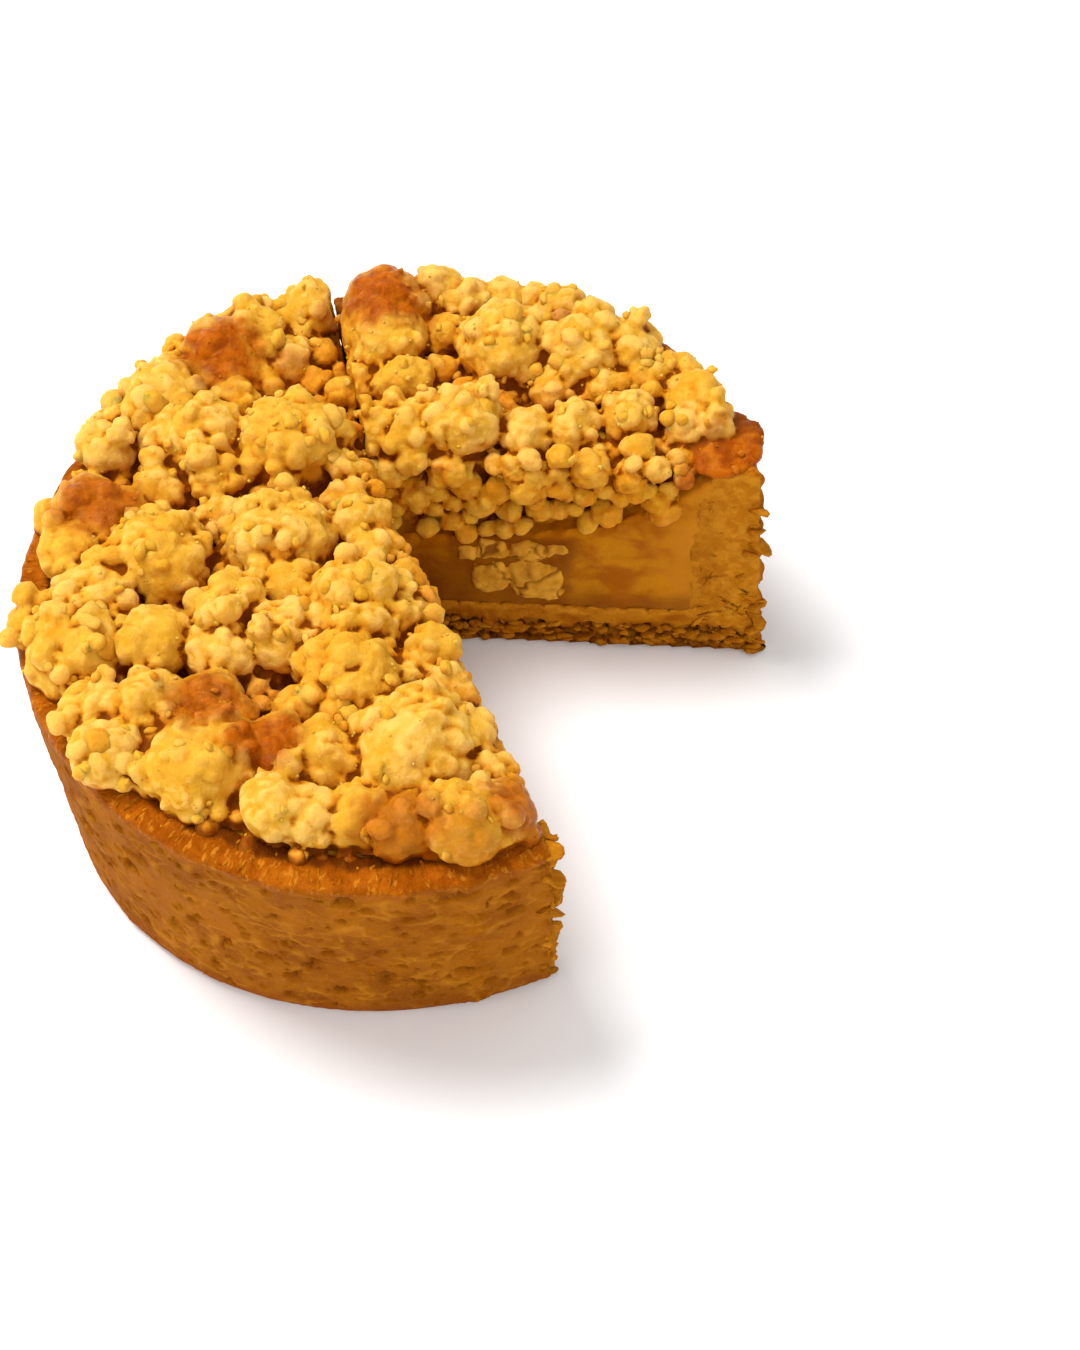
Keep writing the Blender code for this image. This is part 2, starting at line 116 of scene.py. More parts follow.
# Clumps of the large piece: x, y, radius, lift and how knobbly (0 smooth, 1 cauliflower)
REST_CLUMPS = (
    (-35, 29, 8.0, 0, 0.8), (-41, 19.6, 5.0, 0, 0.6), (-28, 20, 8.0, 0, 1.0),
    (-25, 13, 5.0, 0, 0.6), (-14, 17, 9.5, 0, 1.0), (-23, 27, 5.0, 0, 0.9),
    (-18, 30, 3.6, 0, 0.3), (-11, 30, 2.8, 0, 0.3), (-24, 46, 6.5, 0, 0.5),
    (-14, 44, 5.0, 0, 0.8), (-13.5, 51, 5.4, 1, 0.7), (-25, 38, 6.8, 0, 0.1),
    (-16, 36, 4.4, 0, 0.4), (-43, 8, 6.0, 0, 0.1), (-47, 6.5, 4.0, 0, 0.6),
    (-33, 11, 4.4, 0, 0.5), (-44.5, 0, 5.7, 0, 0.8), (-33, -3, 8.8, 0, 1.0),
    (-16, -1, 9.2, 0, 1.0), (-24, 4, 4.2, 0, 0.6), (-7, 6, 3.6, 0, 1.0),
    (-41, -9, 6.2, 0, 0.5), (-43, -18, 8.4, 0, 0.9), (-51, -13, 4.6, 0, 0.4),
    (-33, -18, 6.6, 0, 0.4), (-23, -13, 6.4, 0, 0.8), (-24, -20, 5.6, 0, 0.6),
    (-15, -18, 6.2, 0, 0.7), (-5, -15, 9.4, 0, 0.9), (-14, -10, 5.0, 0, 0.7),
    (-6, -27, 8.8, 0, 0.8), (-40, -29, 5.6, 0, 0.6), (-33, -29, 6.2, 0, 0.5),
    (-38, -37, 6.0, 0, 0.8), (-31, -40, 4.6, 0, 0.6), (-25, -39, 9.2, 0, 0.6),
    (-28, -46, 2.6, 0, 0.0), (-20, -47, 2.8, 0, 0.1), (-25, -29, 5.6, 0, 0.1),
    (-16, -37, 5.2, 0, 0.1), (-13, -31, 4.2, 0, 0.7), (-10, -39, 5.8, 0, 0.6),
    (-15, -47, 5.8, 0, 0.4), (-11, -49, 4.8, 0, 0.1), (2, -40, 10.5, 0, 0.6),
    (-5, -49, 5.2, 0, 0.2), (1, -51, 5.4, 0, 0.4), (9, -51, 6.4, 0, 0.6),
    (2, -26, 4.0, 0, 0.7), (6, -29, 4.2, 0, 0.7), (10.2, -36.8, 4.8, 0, 0.8),
    (14, -49, 4.6, 0, 0.7), (-3, -4, 4.2, 0, 1.0), (-9, -24, 4.0, 0, 0.4),
    (-35, 39, 5.0, 0.6, 0.5), (-43, 26.5, 4.4, 0, 0.5), (16, -45, 3.2, 0, 0.5),
    (16, -49, 2.6, -1, 0.5), (18, -53, 2.6, -3, 0.4), (13, -54, 2.8, -2, 0.5),
    (5, -55, 2.4, -2, 0.3),
)

# Clumps of the slice
SLICE_CLUMPS = (
    (-1, 45, 7.2, 0, 0.2), (7.6, 49.6, 5.0, 0, 0.5), (11, 45, 4.6, 0, 0.4),
    (17, 45, 3.8, 0, 0.4), (22, 45, 3.6, 0, 0.4), (27, 45, 4.6, 0, 0.5),
    (-1, 38, 6.2, 0, 0.5), (-5, 29, 3.8, 0, 0.1), (2, 29, 5.0, 0, 0.2),
    (-4, 34, 3.4, 0, 0.3), (7, 31, 3.2, 0, 0.3), (7, 25, 2.6, 0, 0.0),
    (11, 26, 3.0, 0, 0.2), (17, 35, 8.2, 0, 0.6), (28, 33, 7.8, 0, 0.7),
    (34.6, 32.6, 5.6, 0, 0.8), (23, 25, 3.8, 0, 0.6), (31, 25, 4.0, 0, 0.3),
    (37, 27, 4.4, 0, 0.4), (43, 28, 4.0, 0, 0.3), (46, 23, 5.0, 0, 0.4),
    (46, 17, 4.2, 0, 0.9), (42, 16, 3.8, 0, 0.9), (34, 19, 4.6, 0, 0.3),
    (26, 18, 4.4, 0, 0.2), (19, 17, 4.4, 0, 0.3), (10, 20, 6.4, 0, 0.8),
    (3, 19, 5.4, 0, 0.7), (-2, 20, 4.6, 0, 0.5), (8, 38, 4.0, 0, 0.4),
)

# The middle of the paler crumbs at the slice's right corner
PALE_CORNER = (42.5, 17.0)

# Crumbs on the slice's cut face: distance from the tip, height, radius, how knobbly
FACE_CRUMBS = (
    (2.4, 36.5, 2.6, 0.2), (5.4, 31.6, 3.2, 0.3), (11.5, 37.0, 3.5, 0.6),
    (15.6, 31.1, 3.0, 0.7), (11.0, 26.8, 2.0, 0.4), (23.2, 35.6, 4.0, 0.6),
    (27.6, 40.8, 2.0, 0.0), (31.9, 38.1, 3.3, 0.6), (34.0, 29.6, 2.5, 0.6),
    (29.2, 30.4, 1.6, 0.2), (37.7, 37.0, 2.7, 0.0), (20.6, 38.5, 2.2, 0.2),
    (16.2, 25.2, 1.3, 0.2), (21.2, 26.3, 1.2, 0.2), (26.0, 24.6, 0.9, 0.0),
    (7.0, 25.0, 1.7, 0.3), (8.6, 33.5, 2.6, 0.4), (19.5, 29.5, 2.0, 0.4),
    (24.5, 29.5, 1.8, 0.3), (27.5, 34.5, 2.5, 0.4), (2.6, 29.5, 2.0, 0.4),
    (13.5, 34.5, 2.4, 0.3), (36.2, 33.2, 1.9, 0.3), (18.5, 33.5, 2.4, 0.4),
    (23.4, 31.8, 1.7, 0.3), (30.8, 33.6, 2.1, 0.3), (41.4, 38.6, 2.2, 0.3),
    (43.2, 35.2, 1.2, 0.3), (45.4, 37.6, 1.4, 0.3), (40.0, 34.6, 1.3, 0.2),
)

# Low crumbs where the large piece has crumbled at its tip: x, y, height, radius
TIP_CRUMBS = (
    (-7.4, 16.5, 41.0, 2.4), (-6.0, 12.5, 40.0, 2.5), (-4.8, 8.8, 39.0, 2.3),
    (-6.6, 5.2, 41.2, 2.8), (-3.6, 4.8, 38.2, 2.3), (-1.9, 7.0, 36.0, 1.8),
    (-3.0, 0.8, 39.5, 2.7), (-0.8, 3.0, 36.0, 2.0), (0.6, -1.0, 38.0, 2.3),
    (2.2, -0.6, 34.6, 1.6), (1.2, -4.2, 38.8, 2.5), (3.2, -4.8, 36.0, 1.9),
    (3.4, -8.0, 38.6, 2.4), (-0.8, -6.5, 40.0, 2.7), (0.9, 3.0, 33.6, 1.2),
    (-2.6, 9.6, 34.0, 1.5), (-4.4, 12.6, 36.0, 1.8),
)

# Smooth baked films: x, y, half length, half width, turn in degrees, top, thickness
REST_FILMS = (
    (-25, 37, 7.6, 5.2, 20, 45.0, 5.0), (-41, 9, 7.4, 5.0, 60, 45.0, 5.0),
    (-25, -28, 7.0, 4.5, -30, 44.6, 4.5), (-17, -36, 6.0, 4.0, -60, 44.4, 4.5),
    (-16, 36, 4.0, 3.5, 0, 42.5, 3.0),
)
SLICE_FILMS = (
    (-1.5, 46.5, 7.4, 6.6, 0, 46.8, 7.0), (47.2, 13.6, 7.0, 5.4, 72, 40.3, 1.4),
    (25, 41, 3.0, 2.5, 0, 43.5, 3.0),
)

# Browned places: x, y, radius and strength
BROWNED = (
    (-25, 37, 7.8, 1.0), (-42, 9, 7.8, 0.95), (-25, -29, 7.5, 0.9), (-17, -36, 6.5, 1.0),
    (-13, -31, 3.0, 0.4), (0, -52, 8.5, 0.75), (9, -54, 6.0, 0.5), (16, -48, 6.5, 0.85),
    (-1, 46, 9.0, 1.0), (49, 13, 7.5, 1.0), (44, 11, 5.0, 0.9), (25, 41, 2.6, 0.6),
    (-8, 45, 4.5, 0.6), (-15, 36, 4.0, 0.5),
)

# Pale blocks in the cut face: distance from the tip, height, half width, half height, depth
BLOCKS = (
    (15.9, 14.9, 3.0, 3.2, -0.7), (22.9, 14.4, 4.1, 4.2, -0.85), (16.4, 20.9, 2.2, 2.3, -0.65),
    (22.6, 21.0, 3.4, 2.2, -0.75), (12.4, 19.8, 1.4, 1.7, -0.6), (27.0, 21.3, 1.0, 1.4, -0.6),
    (41.6, 29.0, 1.2, 1.0, -0.6),
)


def wave(angle, waves):
    total = 1.0
    for count, cosine, sine in waves:
        total = total + cosine * np.cos(count * angle) + sine * np.sin(count * angle)
    return total


def outline(angle, height):
    """Radius of the crust's outside, which flares from its base to its rim."""
    share = np.minimum(1.0, height / CRUST_HEIGHT)
    base = BASE_SHARE * wave(angle, BASE_WAVES)
    return RIM_RADIUS * (base + (wave(angle, RIM_WAVES) - base) * share)


def wall_at(height):
    share = max(0.0, min(1.0, (height - FLOOR_HEIGHT) / (CRUST_HEIGHT - FLOOR_HEIGHT)))
    return WALL_AT_FLOOR + (WALL_AT_RIM - WALL_AT_FLOOR) * share**4


def reach(apex, heading, height, inset):
    """Distance from the apex, along a heading, to the outline moved in by inset."""
    cosine = math.cos(heading)
    sine = math.sin(heading)
    along = apex[0] * cosine + apex[1] * sine
    across = apex[0] ** 2 + apex[1] ** 2 - along**2
    angle = heading
    distance = 0.0
    for _ in range(8):
        radius = outline(angle, height) - inset
        distance = math.sqrt(radius**2 - across) - along
        angle = math.atan2(apex[1] + distance * sine, apex[0] + distance * cosine)
    return distance


def step(point, heading, distance):
    return (
        point[0] + distance * math.cos(heading),
        point[1] + distance * math.sin(heading),
    )


def from_tip(x, y, heading):
    """How far a place lies from the wedge's tip along a heading, and how far to its left."""
    dx = x - WEDGE_TIP[0]
    dy = y - WEDGE_TIP[1]
    cosine = math.cos(heading)
    sine = math.sin(heading)
    return dx * cosine + dy * sine, dy * cosine - dx * sine


def fan(apex, first, last, count):
    """Headings from first to last that space the rim evenly."""
    ends = []
    for heading in (first, last):
        x, y = step(apex, heading, reach(apex, heading, CRUST_HEIGHT, 0.0))
        ends.append(math.atan2(y, x))
    if ends[1] < ends[0]:
        ends[1] += math.tau
    headings = []
    for index in range(count + 1):
        angle = ends[0] + (ends[1] - ends[0]) * index / count
        radius = outline(angle, CRUST_HEIGHT)
        x = radius * math.cos(angle) - apex[0]
        y = radius * math.sin(angle) - apex[1]
        headings.append(math.atan2(y, x))
    headings[0] = first
    headings[-1] = last
    return headings


SLICE_APEX = step(WEDGE_TIP, RIGHT_CUT, 0.1)
REST_APEX = step(WEDGE_TIP, FRONT_CUT, -0.2)
SLICE_SPAN = (RIGHT_CUT, SEAM_CUT - SEAM_SPREAD)
REST_SPAN = (SEAM_CUT + SEAM_SPREAD, FRONT_CUT + math.tau)


def inner_apex(apex, first, last, from_first, from_last):
    """The apex of a sector whose two sides lie further in than the given one's."""
    sides = np.array([
        [-math.sin(first), math.cos(first)], [math.sin(last), -math.cos(last)],
    ])
    x, y = np.linalg.solve(sides, [from_first, from_last])
    return apex[0] + x, apex[1] + y


# Meshes

def new_object(name, data):
    item = bpy.data.objects.new(name, data)
    bpy.context.scene.collection.objects.link(item)
    return item


def object_from(bm, name, outward=True):
    """An object from the mesh being built, with its faces turned outward if asked."""
    if outward:
        bmesh.ops.recalc_face_normals(bm, faces=bm.faces)
    mesh = bpy.data.meshes.new(name)
    bm.to_mesh(mesh)
    bm.free()
    return new_object(name, mesh)


def sweep(name, apex, headings, section):
    """A closed mesh that turns a cross-section round the upright line at the apex."""
    bm = bmesh.new()
    rings = []
    poles = None
    for heading in headings:
        profile = section(apex, heading)
        if poles is None:
            poles = [
                bm.verts.new((apex[0] * MM, apex[1] * MM, profile[end][1] * MM))
                for end in (0, -1)
            ]
        ring = [poles[0]]
        for distance, height in profile[1:-1]:
            x, y = step(apex, heading, distance)
            ring.append(bm.verts.new((x * MM, y * MM, height * MM)))
        ring.append(poles[1])
        rings.append(ring)
    for one, two in zip(rings, rings[1:]):
        for index in range(len(one) - 1):
            corners = [one[index], one[index + 1], two[index + 1], two[index]]
            bm.faces.new(list(dict.fromkeys(corners)))
    bm.faces.new(rings[0])
    bm.faces.new(rings[-1])
    bmesh.ops.triangulate(bm, faces=bm.faces, ngon_method="BEAUTY")
    return object_from(bm, name)


def apply_modifiers(item):
    graph = bpy.context.evaluated_depsgraph_get()
    mesh = bpy.data.meshes.new_from_object(item.evaluated_get(graph))
    item.modifiers.clear()
    item.data = mesh


def read(rows, name, kind, width):
    """The values of one property of all vertices or edges, a row for each."""
    values = np.empty(len(rows) * width, kind)
    rows.foreach_get(name, values)
    return values.reshape(-1, width)


def points_of(item):
    return read(item.data.vertices, "co", np.float32, 3).astype(float) / MM


def normals_of(item):
    return read(item.data.vertex_normals, "vector", np.float32, 3).astype(float)


def shape_of(item):
    return points_of(item), normals_of(item)


def move_points(item, points):
    item.data.vertices.foreach_set("co", (points * MM).astype(np.float32).ravel())
    item.data.update()


def set_value(item, name, values):
    """Stores a number, or three, for each vertex, for the finish to read."""
    values = np.asarray(values, np.float32)
    if values.ndim == 2:
        layer = item.data.attributes.new(name, "FLOAT_VECTOR", "POINT")
        layer.data.foreach_set("vector", values.ravel())
    else:
        layer = item.data.attributes.new(name, "FLOAT", "POINT")
        layer.data.foreach_set("value", values)


def even_skin(item, detail, smooth_steps):
    """Rebuilds the mesh as one even skin of small faces and softens its steps."""
    skin = item.modifiers.new("even skin", "REMESH")
    skin.mode = "VOXEL"
    skin.voxel_size = detail * MM
    soft = item.modifiers.new("soften", "SMOOTH")
    soft.factor = 0.5
    soft.iterations = smooth_steps
    apply_modifiers(item)


def join(items, name):
    """One object from several, in the order given."""
    bm = bmesh.new()
    for item in items:
        bm.from_mesh(item.data)
        bpy.data.objects.remove(item, do_unlink=True)
    return object_from(bm, name, outward=False)


def finish_piece(item, node, material):
    """Smooth shading, the finish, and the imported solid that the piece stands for."""
    item.data.materials.clear()
    item.data.materials.append(material)
    item.data.polygons.foreach_set("use_smooth", [True] * len(item.data.polygons))
    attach(item, "root")
    if node:
        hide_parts(node)


# Noise over many points

def field(points, size, seed):
    """Soft noise at each point, with features of this size."""
    shift = Vector((seed * 13.7, seed * 7.3, seed * 3.1))
    return np.array([noise.noise(Vector(p) + shift) for p in points / size])


def fields(points, size, *seeds):
    return np.column_stack([field(points, size, seed) for seed in seeds])


def flat_field(along, across, seed):
    """Noise in a plane, with features of size 1."""
    return field(np.column_stack([along, across, np.zeros(len(along))]), 1.0, seed)


def cells(points, size, seed):
    """Distance of each point to the nearest cell's middle and to the next one's."""
    shift = Vector((seed * 5.7, seed * 9.3, seed * 2.1))
    found = np.array([noise.voronoi(Vector(point) + shift)[0][:2] for point in points / size])
    return found[:, 0], found[:, 1]


def smooth_step(low, high, values):
    share = np.clip((values - low) / (high - low), 0.0, 1.0)
    return share * share * (3 - 2 * share)


# Nodes

def plug(tree, value, socket):
    """Links an input to a socket, or sets its value."""
    if isinstance(value, bpy.types.NodeSocket):
        tree.links.new(value, socket)
    elif isinstance(value, tuple) and len(value) == 3 and len(socket.default_value) == 4:
        socket.default_value = (*value, 1.0)
    else:
        socket.default_value = value


def new_node(tree, kind, inputs=(), **settings):
    """Adds a node, sets it up, and links or sets its inputs."""
    node = tree.nodes.new(kind)
    for key, value in settings.items():
        setattr(node, key, value)
    for key, value in dict(inputs).items():
        plug(tree, value, node.inputs[key])
    return node


# Geometry Nodes: uneven balls on points, for crumbs and flakes

def balls_tree():
    """Puts an uneven ball on each point, turned and sized by the point's own values."""
    tree = bpy.data.node_groups.new("balls on points", "GeometryNodeTree")
    face = tree.interface
    for name, kind, value in (
        ("Geometry", "Geometry", None), ("Ball detail", "Int", 2), ("Unevenness", "Float", 0.2),
        ("Lumps per ball", "Float", 1.6), ("Seed", "Float", 3.0), ("Finish", "Material", None),
    ):
        socket = face.new_socket(name, in_out="INPUT", socket_type="NodeSocket" + kind)
        if value is not None:
            socket.default_value = value
    face.new_socket("Geometry", in_out="OUTPUT", socket_type="NodeSocketGeometry")

    def add(kind, output, inputs=(), **settings):
        return new_node(tree, kind, inputs, **settings).outputs[output]

    def own(name):
        return add(
            "GeometryNodeInputNamedAttribute", "Attribute", {"Name": name},
            data_type="FLOAT_VECTOR",
        )

    given = tree.nodes.new("NodeGroupInput").outputs
    size = own("size")
    ball = add("GeometryNodeMeshIcoSphere", "Mesh", {"Subdivisions": given["Ball detail"]})
    put = add("GeometryNodeInstanceOnPoints", "Instances", {
        "Points": given["Geometry"], "Instance": ball, "Rotation": own("turn"), "Scale": size,
    })
    real = add("GeometryNodeRealizeInstances", "Geometry", {"Geometry": put})
    # Unevenness in proportion to the ball's size, from noise whose grain follows it too
    length = add("ShaderNodeVectorMath", "Value", {0: size}, operation="LENGTH")
    grain = add(
        "ShaderNodeMath", "Value", {0: given["Lumps per ball"], 1: length}, operation="DIVIDE"
    )
    knock = add("ShaderNodeTexNoise", 0, {
        "Vector": add("GeometryNodeInputPosition", "Position"), "W": given["Seed"],
        "Scale": grain, "Detail": 1.0,
    }, noise_dimensions="4D")
    amount = add("ShaderNodeMath", "Value", {0: knock, 1: 0.5}, operation="SUBTRACT")
    for factor in (given["Unevenness"], length):
        amount = add("ShaderNodeMath", "Value", {0: amount, 1: factor}, operation="MULTIPLY")
    normal = add("GeometryNodeInputNormal", "Normal")
    offset = add("ShaderNodeVectorMath", "Vector", {0: normal, "Scale": amount}, operation="SCALE")
    shift = add("GeometryNodeSetPosition", "Geometry", {"Geometry": real, "Offset": offset})
    coat = add(
        "GeometryNodeSetMaterial", "Geometry", {"Geometry": shift, "Material": given["Finish"]}
    )
    new_node(tree, "NodeGroupOutput", {"Geometry": coat})
    return tree


def balls_on(name, tree, rows, material, detail, unevenness, lumps):
    """Runs the tree on a row of numbers for each ball and makes its result a plain mesh."""
    rows = np.asarray(rows, float)
    mesh = bpy.data.meshes.new(name)
    mesh.from_pydata([tuple(p) for p in rows[:, :3] * MM], [], [])
    item = new_object(name, mesh)
    set_value(item, "size", rows[:, 3:6] * MM)
    set_value(item, "turn", rows[:, 6:9])
    made = item.modifiers.new("balls", "NODES")
    made.node_group = tree
    values = {
        "Ball detail": detail, "Unevenness": unevenness, "Lumps per ball": lumps,
        "Finish": material,
    }
    for socket in tree.interface.items_tree:
        if socket.in_out == "INPUT" and socket.name in values:
            made[socket.identifier] = values[socket.name]
    apply_modifiers(item)
    return item


def owners(points, rows):
    """The number of the ball that each point belongs to."""
    return np.arange(len(points)) // (len(points) // len(rows))


# Finishes

class Finish:
    """A procedural finish, with short calls for the nodes that these finishes use."""

    def __init__(self, name, roughness, **sockets):
        self.material = bpy.data.materials.new(name)
        self.material.use_nodes = True
        self.tree = self.material.node_tree
        self.set(Roughness=roughness, **sockets)
        self.place = self.add("ShaderNodeTexCoord").outputs["Object"]
        self.colour = None

    def add(self, kind, inputs=(), **settings):
        return new_node(self.tree, kind, inputs, **settings)

    def value(self, name):
        return self.add("ShaderNodeAttribute", attribute_name=name).outputs["Fac"]

    def noise(self, size, detail=2.0, place=None, warp=0.0):
        """Noise with features of this size in millimetres."""
        return self.add("ShaderNodeTexNoise", {
            "Vector": place or self.place, "Scale": 1.0 / (size * MM), "Detail": detail,
            "Roughness": 0.55, "Distortion": warp,
        }).outputs[0]

    def flattened(self, share):
        """The place, with what is drawn there pressed flat by this share."""
        return self.add("ShaderNodeMapping", {
            "Vector": self.place, "Scale": (1.0, 1.0, share),
        }).outputs["Vector"]

    def span(self, value, low, high, to_low=0.0, to_high=1.0):
        return self.add("ShaderNodeMapRange", {
            "Value": value, "From Min": low, "From Max": high, "To Min": to_low,
            "To Max": to_high,
        }, interpolation_type="SMOOTHSTEP").outputs["Result"]

    def times(self, one, two):
        return self.add("ShaderNodeMath", {0: one, 1: two}, operation="MULTIPLY").outputs[0]

    def plus(self, one, two):
        return self.add("ShaderNodeMath", {0: one, 1: two}, operation="ADD").outputs[0]

    def mix(self, factor, one, two):
        return self.add(
            "ShaderNodeMix", {"Factor": factor, 6: one, 7: two}, data_type="RGBA"
        ).outputs[2]

    def blend(self, value, low, high, one, two):
        """From one colour at the low value to the other at the high one."""
        return self.mix(self.span(value, low, high), one, two)

    def over(self, factor, colour, share=1.0):
        """Lays a colour over the finish's own, by a share of the factor."""
        if share < 1.0:
            factor = self.times(factor, share)
        self.colour = self.mix(factor, self.colour, colour)

    def tint(self, value, low, high, most, colour):
        """Lays a colour over where the value goes from low to high."""
        self.over(self.span(value, low, high, 0.0, most), colour)

    def bump(self, height, distance, strength):
        return self.add("ShaderNodeBump", {
            "Height": height, "Distance": distance * MM, "Strength": strength,
        }).outputs["Normal"]

    def set(self, **sockets):
        shader = self.tree.nodes["Principled BSDF"]
        for key, value in sockets.items():
            plug(self.tree, value, shader.inputs[key.replace("_", " ")])
        return self.material


def streusel_finish():
    make = Finish(
        "golden streusel", 0.42, Subsurface_Weight=0.55, Subsurface_Scale=0.0018,
        Subsurface_Radius=(1.0, 0.45, 0.06), Specular_IOR_Level=0.07,
        Specular_Tint=(1.0, 0.75, 0.4, 1.0),
    )
    painted_shade = make.value("painted_shade")
    browned = make.value("browned")
    tone = make.value("tone")
    cloud = make.noise(4.5, 3.0)
    make.colour = make.blend(cloud, 0.35, 0.68, (0.62, 0.30, 0.016), (0.685, 0.37, 0.038))
    # Tone: random per clump and lobe, paler in the pale corner, with a painted highlight where
    # parts stand out and painted shade on low crumbs of the cut faces.
    make.tint(tone, 0.1, 1.2, 0.7, (0.78, 0.485, 0.120))
    make.tint(tone, -0.1, -1.2, 0.85, (0.62, 0.240, 0.005))
    make.tint(make.noise(1.3, 3.0), 0.45, 0.75, 0.3, (0.80, 0.47, 0.090))
    # Painted shade: orange where the shade value is slight, dark brown where it is deep.
    make.tint(painted_shade, 0.05, 0.5, 0.8, (0.58, 0.190, 0.003))
    make.tint(painted_shade, 0.4, 0.95, 1.0, (0.20, 0.040, 0.0005))
    patch = make.noise(2.2, 4.0)
    make.over(browned, make.blend(patch, 0.36, 0.66, (0.44, 0.105, 0.002), (0.28, 0.050, 0.001)))
    speck = make.span(make.noise(0.75, place=make.flattened(1.3)), 0.715, 0.76)
    make.over(speck, (0.24, 0.08, 0.008), 0.7)
    relief = make.plus(make.noise(0.9, 3.0), make.times(make.noise(0.4), 0.4))
    return make.set(
        Base_Color=make.colour, Roughness=make.span(browned, 0.1, 0.9, 0.5, 0.24),
        Normal=make.bump(relief, 0.32, 0.8),
    )


def crust_finish():
    make = Finish(
        "baked crust", 0.6, Specular_IOR_Level=0.035, Specular_Tint=(1.0, 0.65, 0.25, 1.0),
    )
    light = (0.54, 0.205, 0.012)
    rim = make.value("rim")
    around = make.add("ShaderNodeAttribute", attribute_name="around").outputs["Vector"]
    cloud = make.noise(9.0, 4.0)
    make.colour = make.blend(cloud, 0.35, 0.68, (0.255, 0.066, 0.0015), (0.365, 0.108, 0.003))
    streaks = make.noise(3.2, 4.0, place=make.flattened(1.3))
    make.tint(streaks, 0.42, 0.7, 0.4, (0.40, 0.140, 0.006))
    make.tint(make.noise(0.8, 3.0), 0.5, 0.78, 0.35, (0.24, 0.060, 0.003))
    make.over(make.value("foot"), (0.28, 0.060, 0.002), 0.6)
    # Painted highlight: the crests of the fine wrinkles and the fold lines are lighter.
    wrinkle = make.noise(0.7, 3.0, place=make.flattened(1.6), warp=1.5)
    make.tint(wrinkle, 0.6, 0.72, 0.55, light)
    make.over(make.value("fold"), light, 0.5)
    glow = make.blend(make.noise(2.5, 4.0), 0.35, 0.7, (0.28, 0.060, 0.001), (0.41, 0.102, 0.003))
    # Light and dark radial fibres on the rim: its own streaks, with painted highlights on the
    # raised ones and painted shade in the grooves.
    fibre = make.noise(0.7, 3.0, place=around)
    glow = make.mix(make.span(fibre, 0.54, 0.68, 0.0, 0.6), glow, (0.62, 0.23, 0.016))
    glow = make.mix(make.span(fibre, 0.40, 0.26, 0.0, 0.6), glow, (0.17, 0.034, 0.001))
    make.over(rim, glow)
    # Painted shade in the dents, darkest at their upper edge.
    make.over(make.value("pit"), (0.14, 0.030, 0.002), 0.8)
    make.over(make.value("shaded"), (0.09, 0.017, 0.001), 0.9)
    grain = make.noise(1.6, 4.0)
    crumb = make.blend(grain, 0.36, 0.66, (0.48, 0.160, 0.005), (0.62, 0.245, 0.014))
    wet = make.blend(make.noise(4.0, 3.0), 0.4, 0.65, (0.34, 0.092, 0.002), (0.48, 0.17, 0.006))
    crumb = make.mix(make.value("soak"), crumb, wet)
    # Near-black on the flaky base of the cut faces: the layer's own dark colour, with painted
    # shade in the gaps between its plates.
    make.over(make.value("inside"), make.mix(make.value("layer"), crumb, (0.06, 0.013, 0.001)))
    relief = make.plus(make.noise(0.8, 4.0), make.times(wrinkle, 0.8))
    relief = make.plus(relief, make.times(make.times(rim, fibre), 1.2))
    return make.set(
        Base_Color=make.colour, Roughness=make.span(rim, 0.2, 0.9, 0.7, 0.22),
        Normal=make.bump(relief, 0.34, 0.9),
    )


def filling_finish():
    make = Finish(
        "amber filling", 0.33, Subsurface_Weight=0.18, Subsurface_Scale=0.003,
        Subsurface_Radius=(1.0, 0.42, 0.03), Specular_IOR_Level=0.02,
    )
    cloud = make.noise(7.0, 3.0, place=make.flattened(1.6), warp=0.6)
    make.colour = make.blend(cloud, 0.36, 0.66, (0.36, 0.096, 0.001), (0.53, 0.195, 0.003))
    swirl = make.noise(3.0, 4.0, place=make.flattened(2.6), warp=1.2)
    make.tint(swirl, 0.6, 0.8, 0.35, (0.56, 0.25, 0.009))
    make.over(make.value("gold"), (0.53, 0.190, 0.007))
    make.over(make.value("shade"), (0.17, 0.038, 0.001), 0.85)
    relief = make.plus(make.noise(2.4, 3.0), make.times(make.noise(0.6), 0.2))
    return make.set(Base_Color=make.colour, Normal=make.bump(relief, 0.35, 0.6))


def marzipan_finish():
    make = Finish(
        "pale marzipan", 0.6, Subsurface_Weight=0.1, Subsurface_Scale=0.0012,
        Subsurface_Radius=(1.0, 0.5, 0.15), Specular_IOR_Level=0.03,
    )
    cloud = make.noise(2.4, 4.0)
    make.colour = make.blend(cloud, 0.36, 0.66, (0.54, 0.225, 0.012), (0.70, 0.330, 0.030))
    # Painted shade in the cracks and dips.
    make.over(make.value("painted_shade"), (0.22, 0.07, 0.004), 0.9)
    return make.set(
        Base_Color=make.colour, Normal=make.bump(make.noise(0.6, 4.0), 0.2, 0.7)
    )


def floor_finish():
    make = Finish("pale floor", 0.7, Specular_IOR_Level=0.1)
    tone = make.noise(400.0)
    return make.set(Base_Color=make.mix(tone, (0.93, 0.93, 0.93), (0.95, 0.95, 0.95)))


# Streusel

def settle(x, y, height):
    """Moves a place read at READ_HEIGHT along its line of sight to another height."""
    share = (EYE[2] - height) / (EYE[2] - READ_HEIGHT)
    return EYE[0] + (x - EYE[0]) * share, EYE[1] + (y - EYE[1]) * share


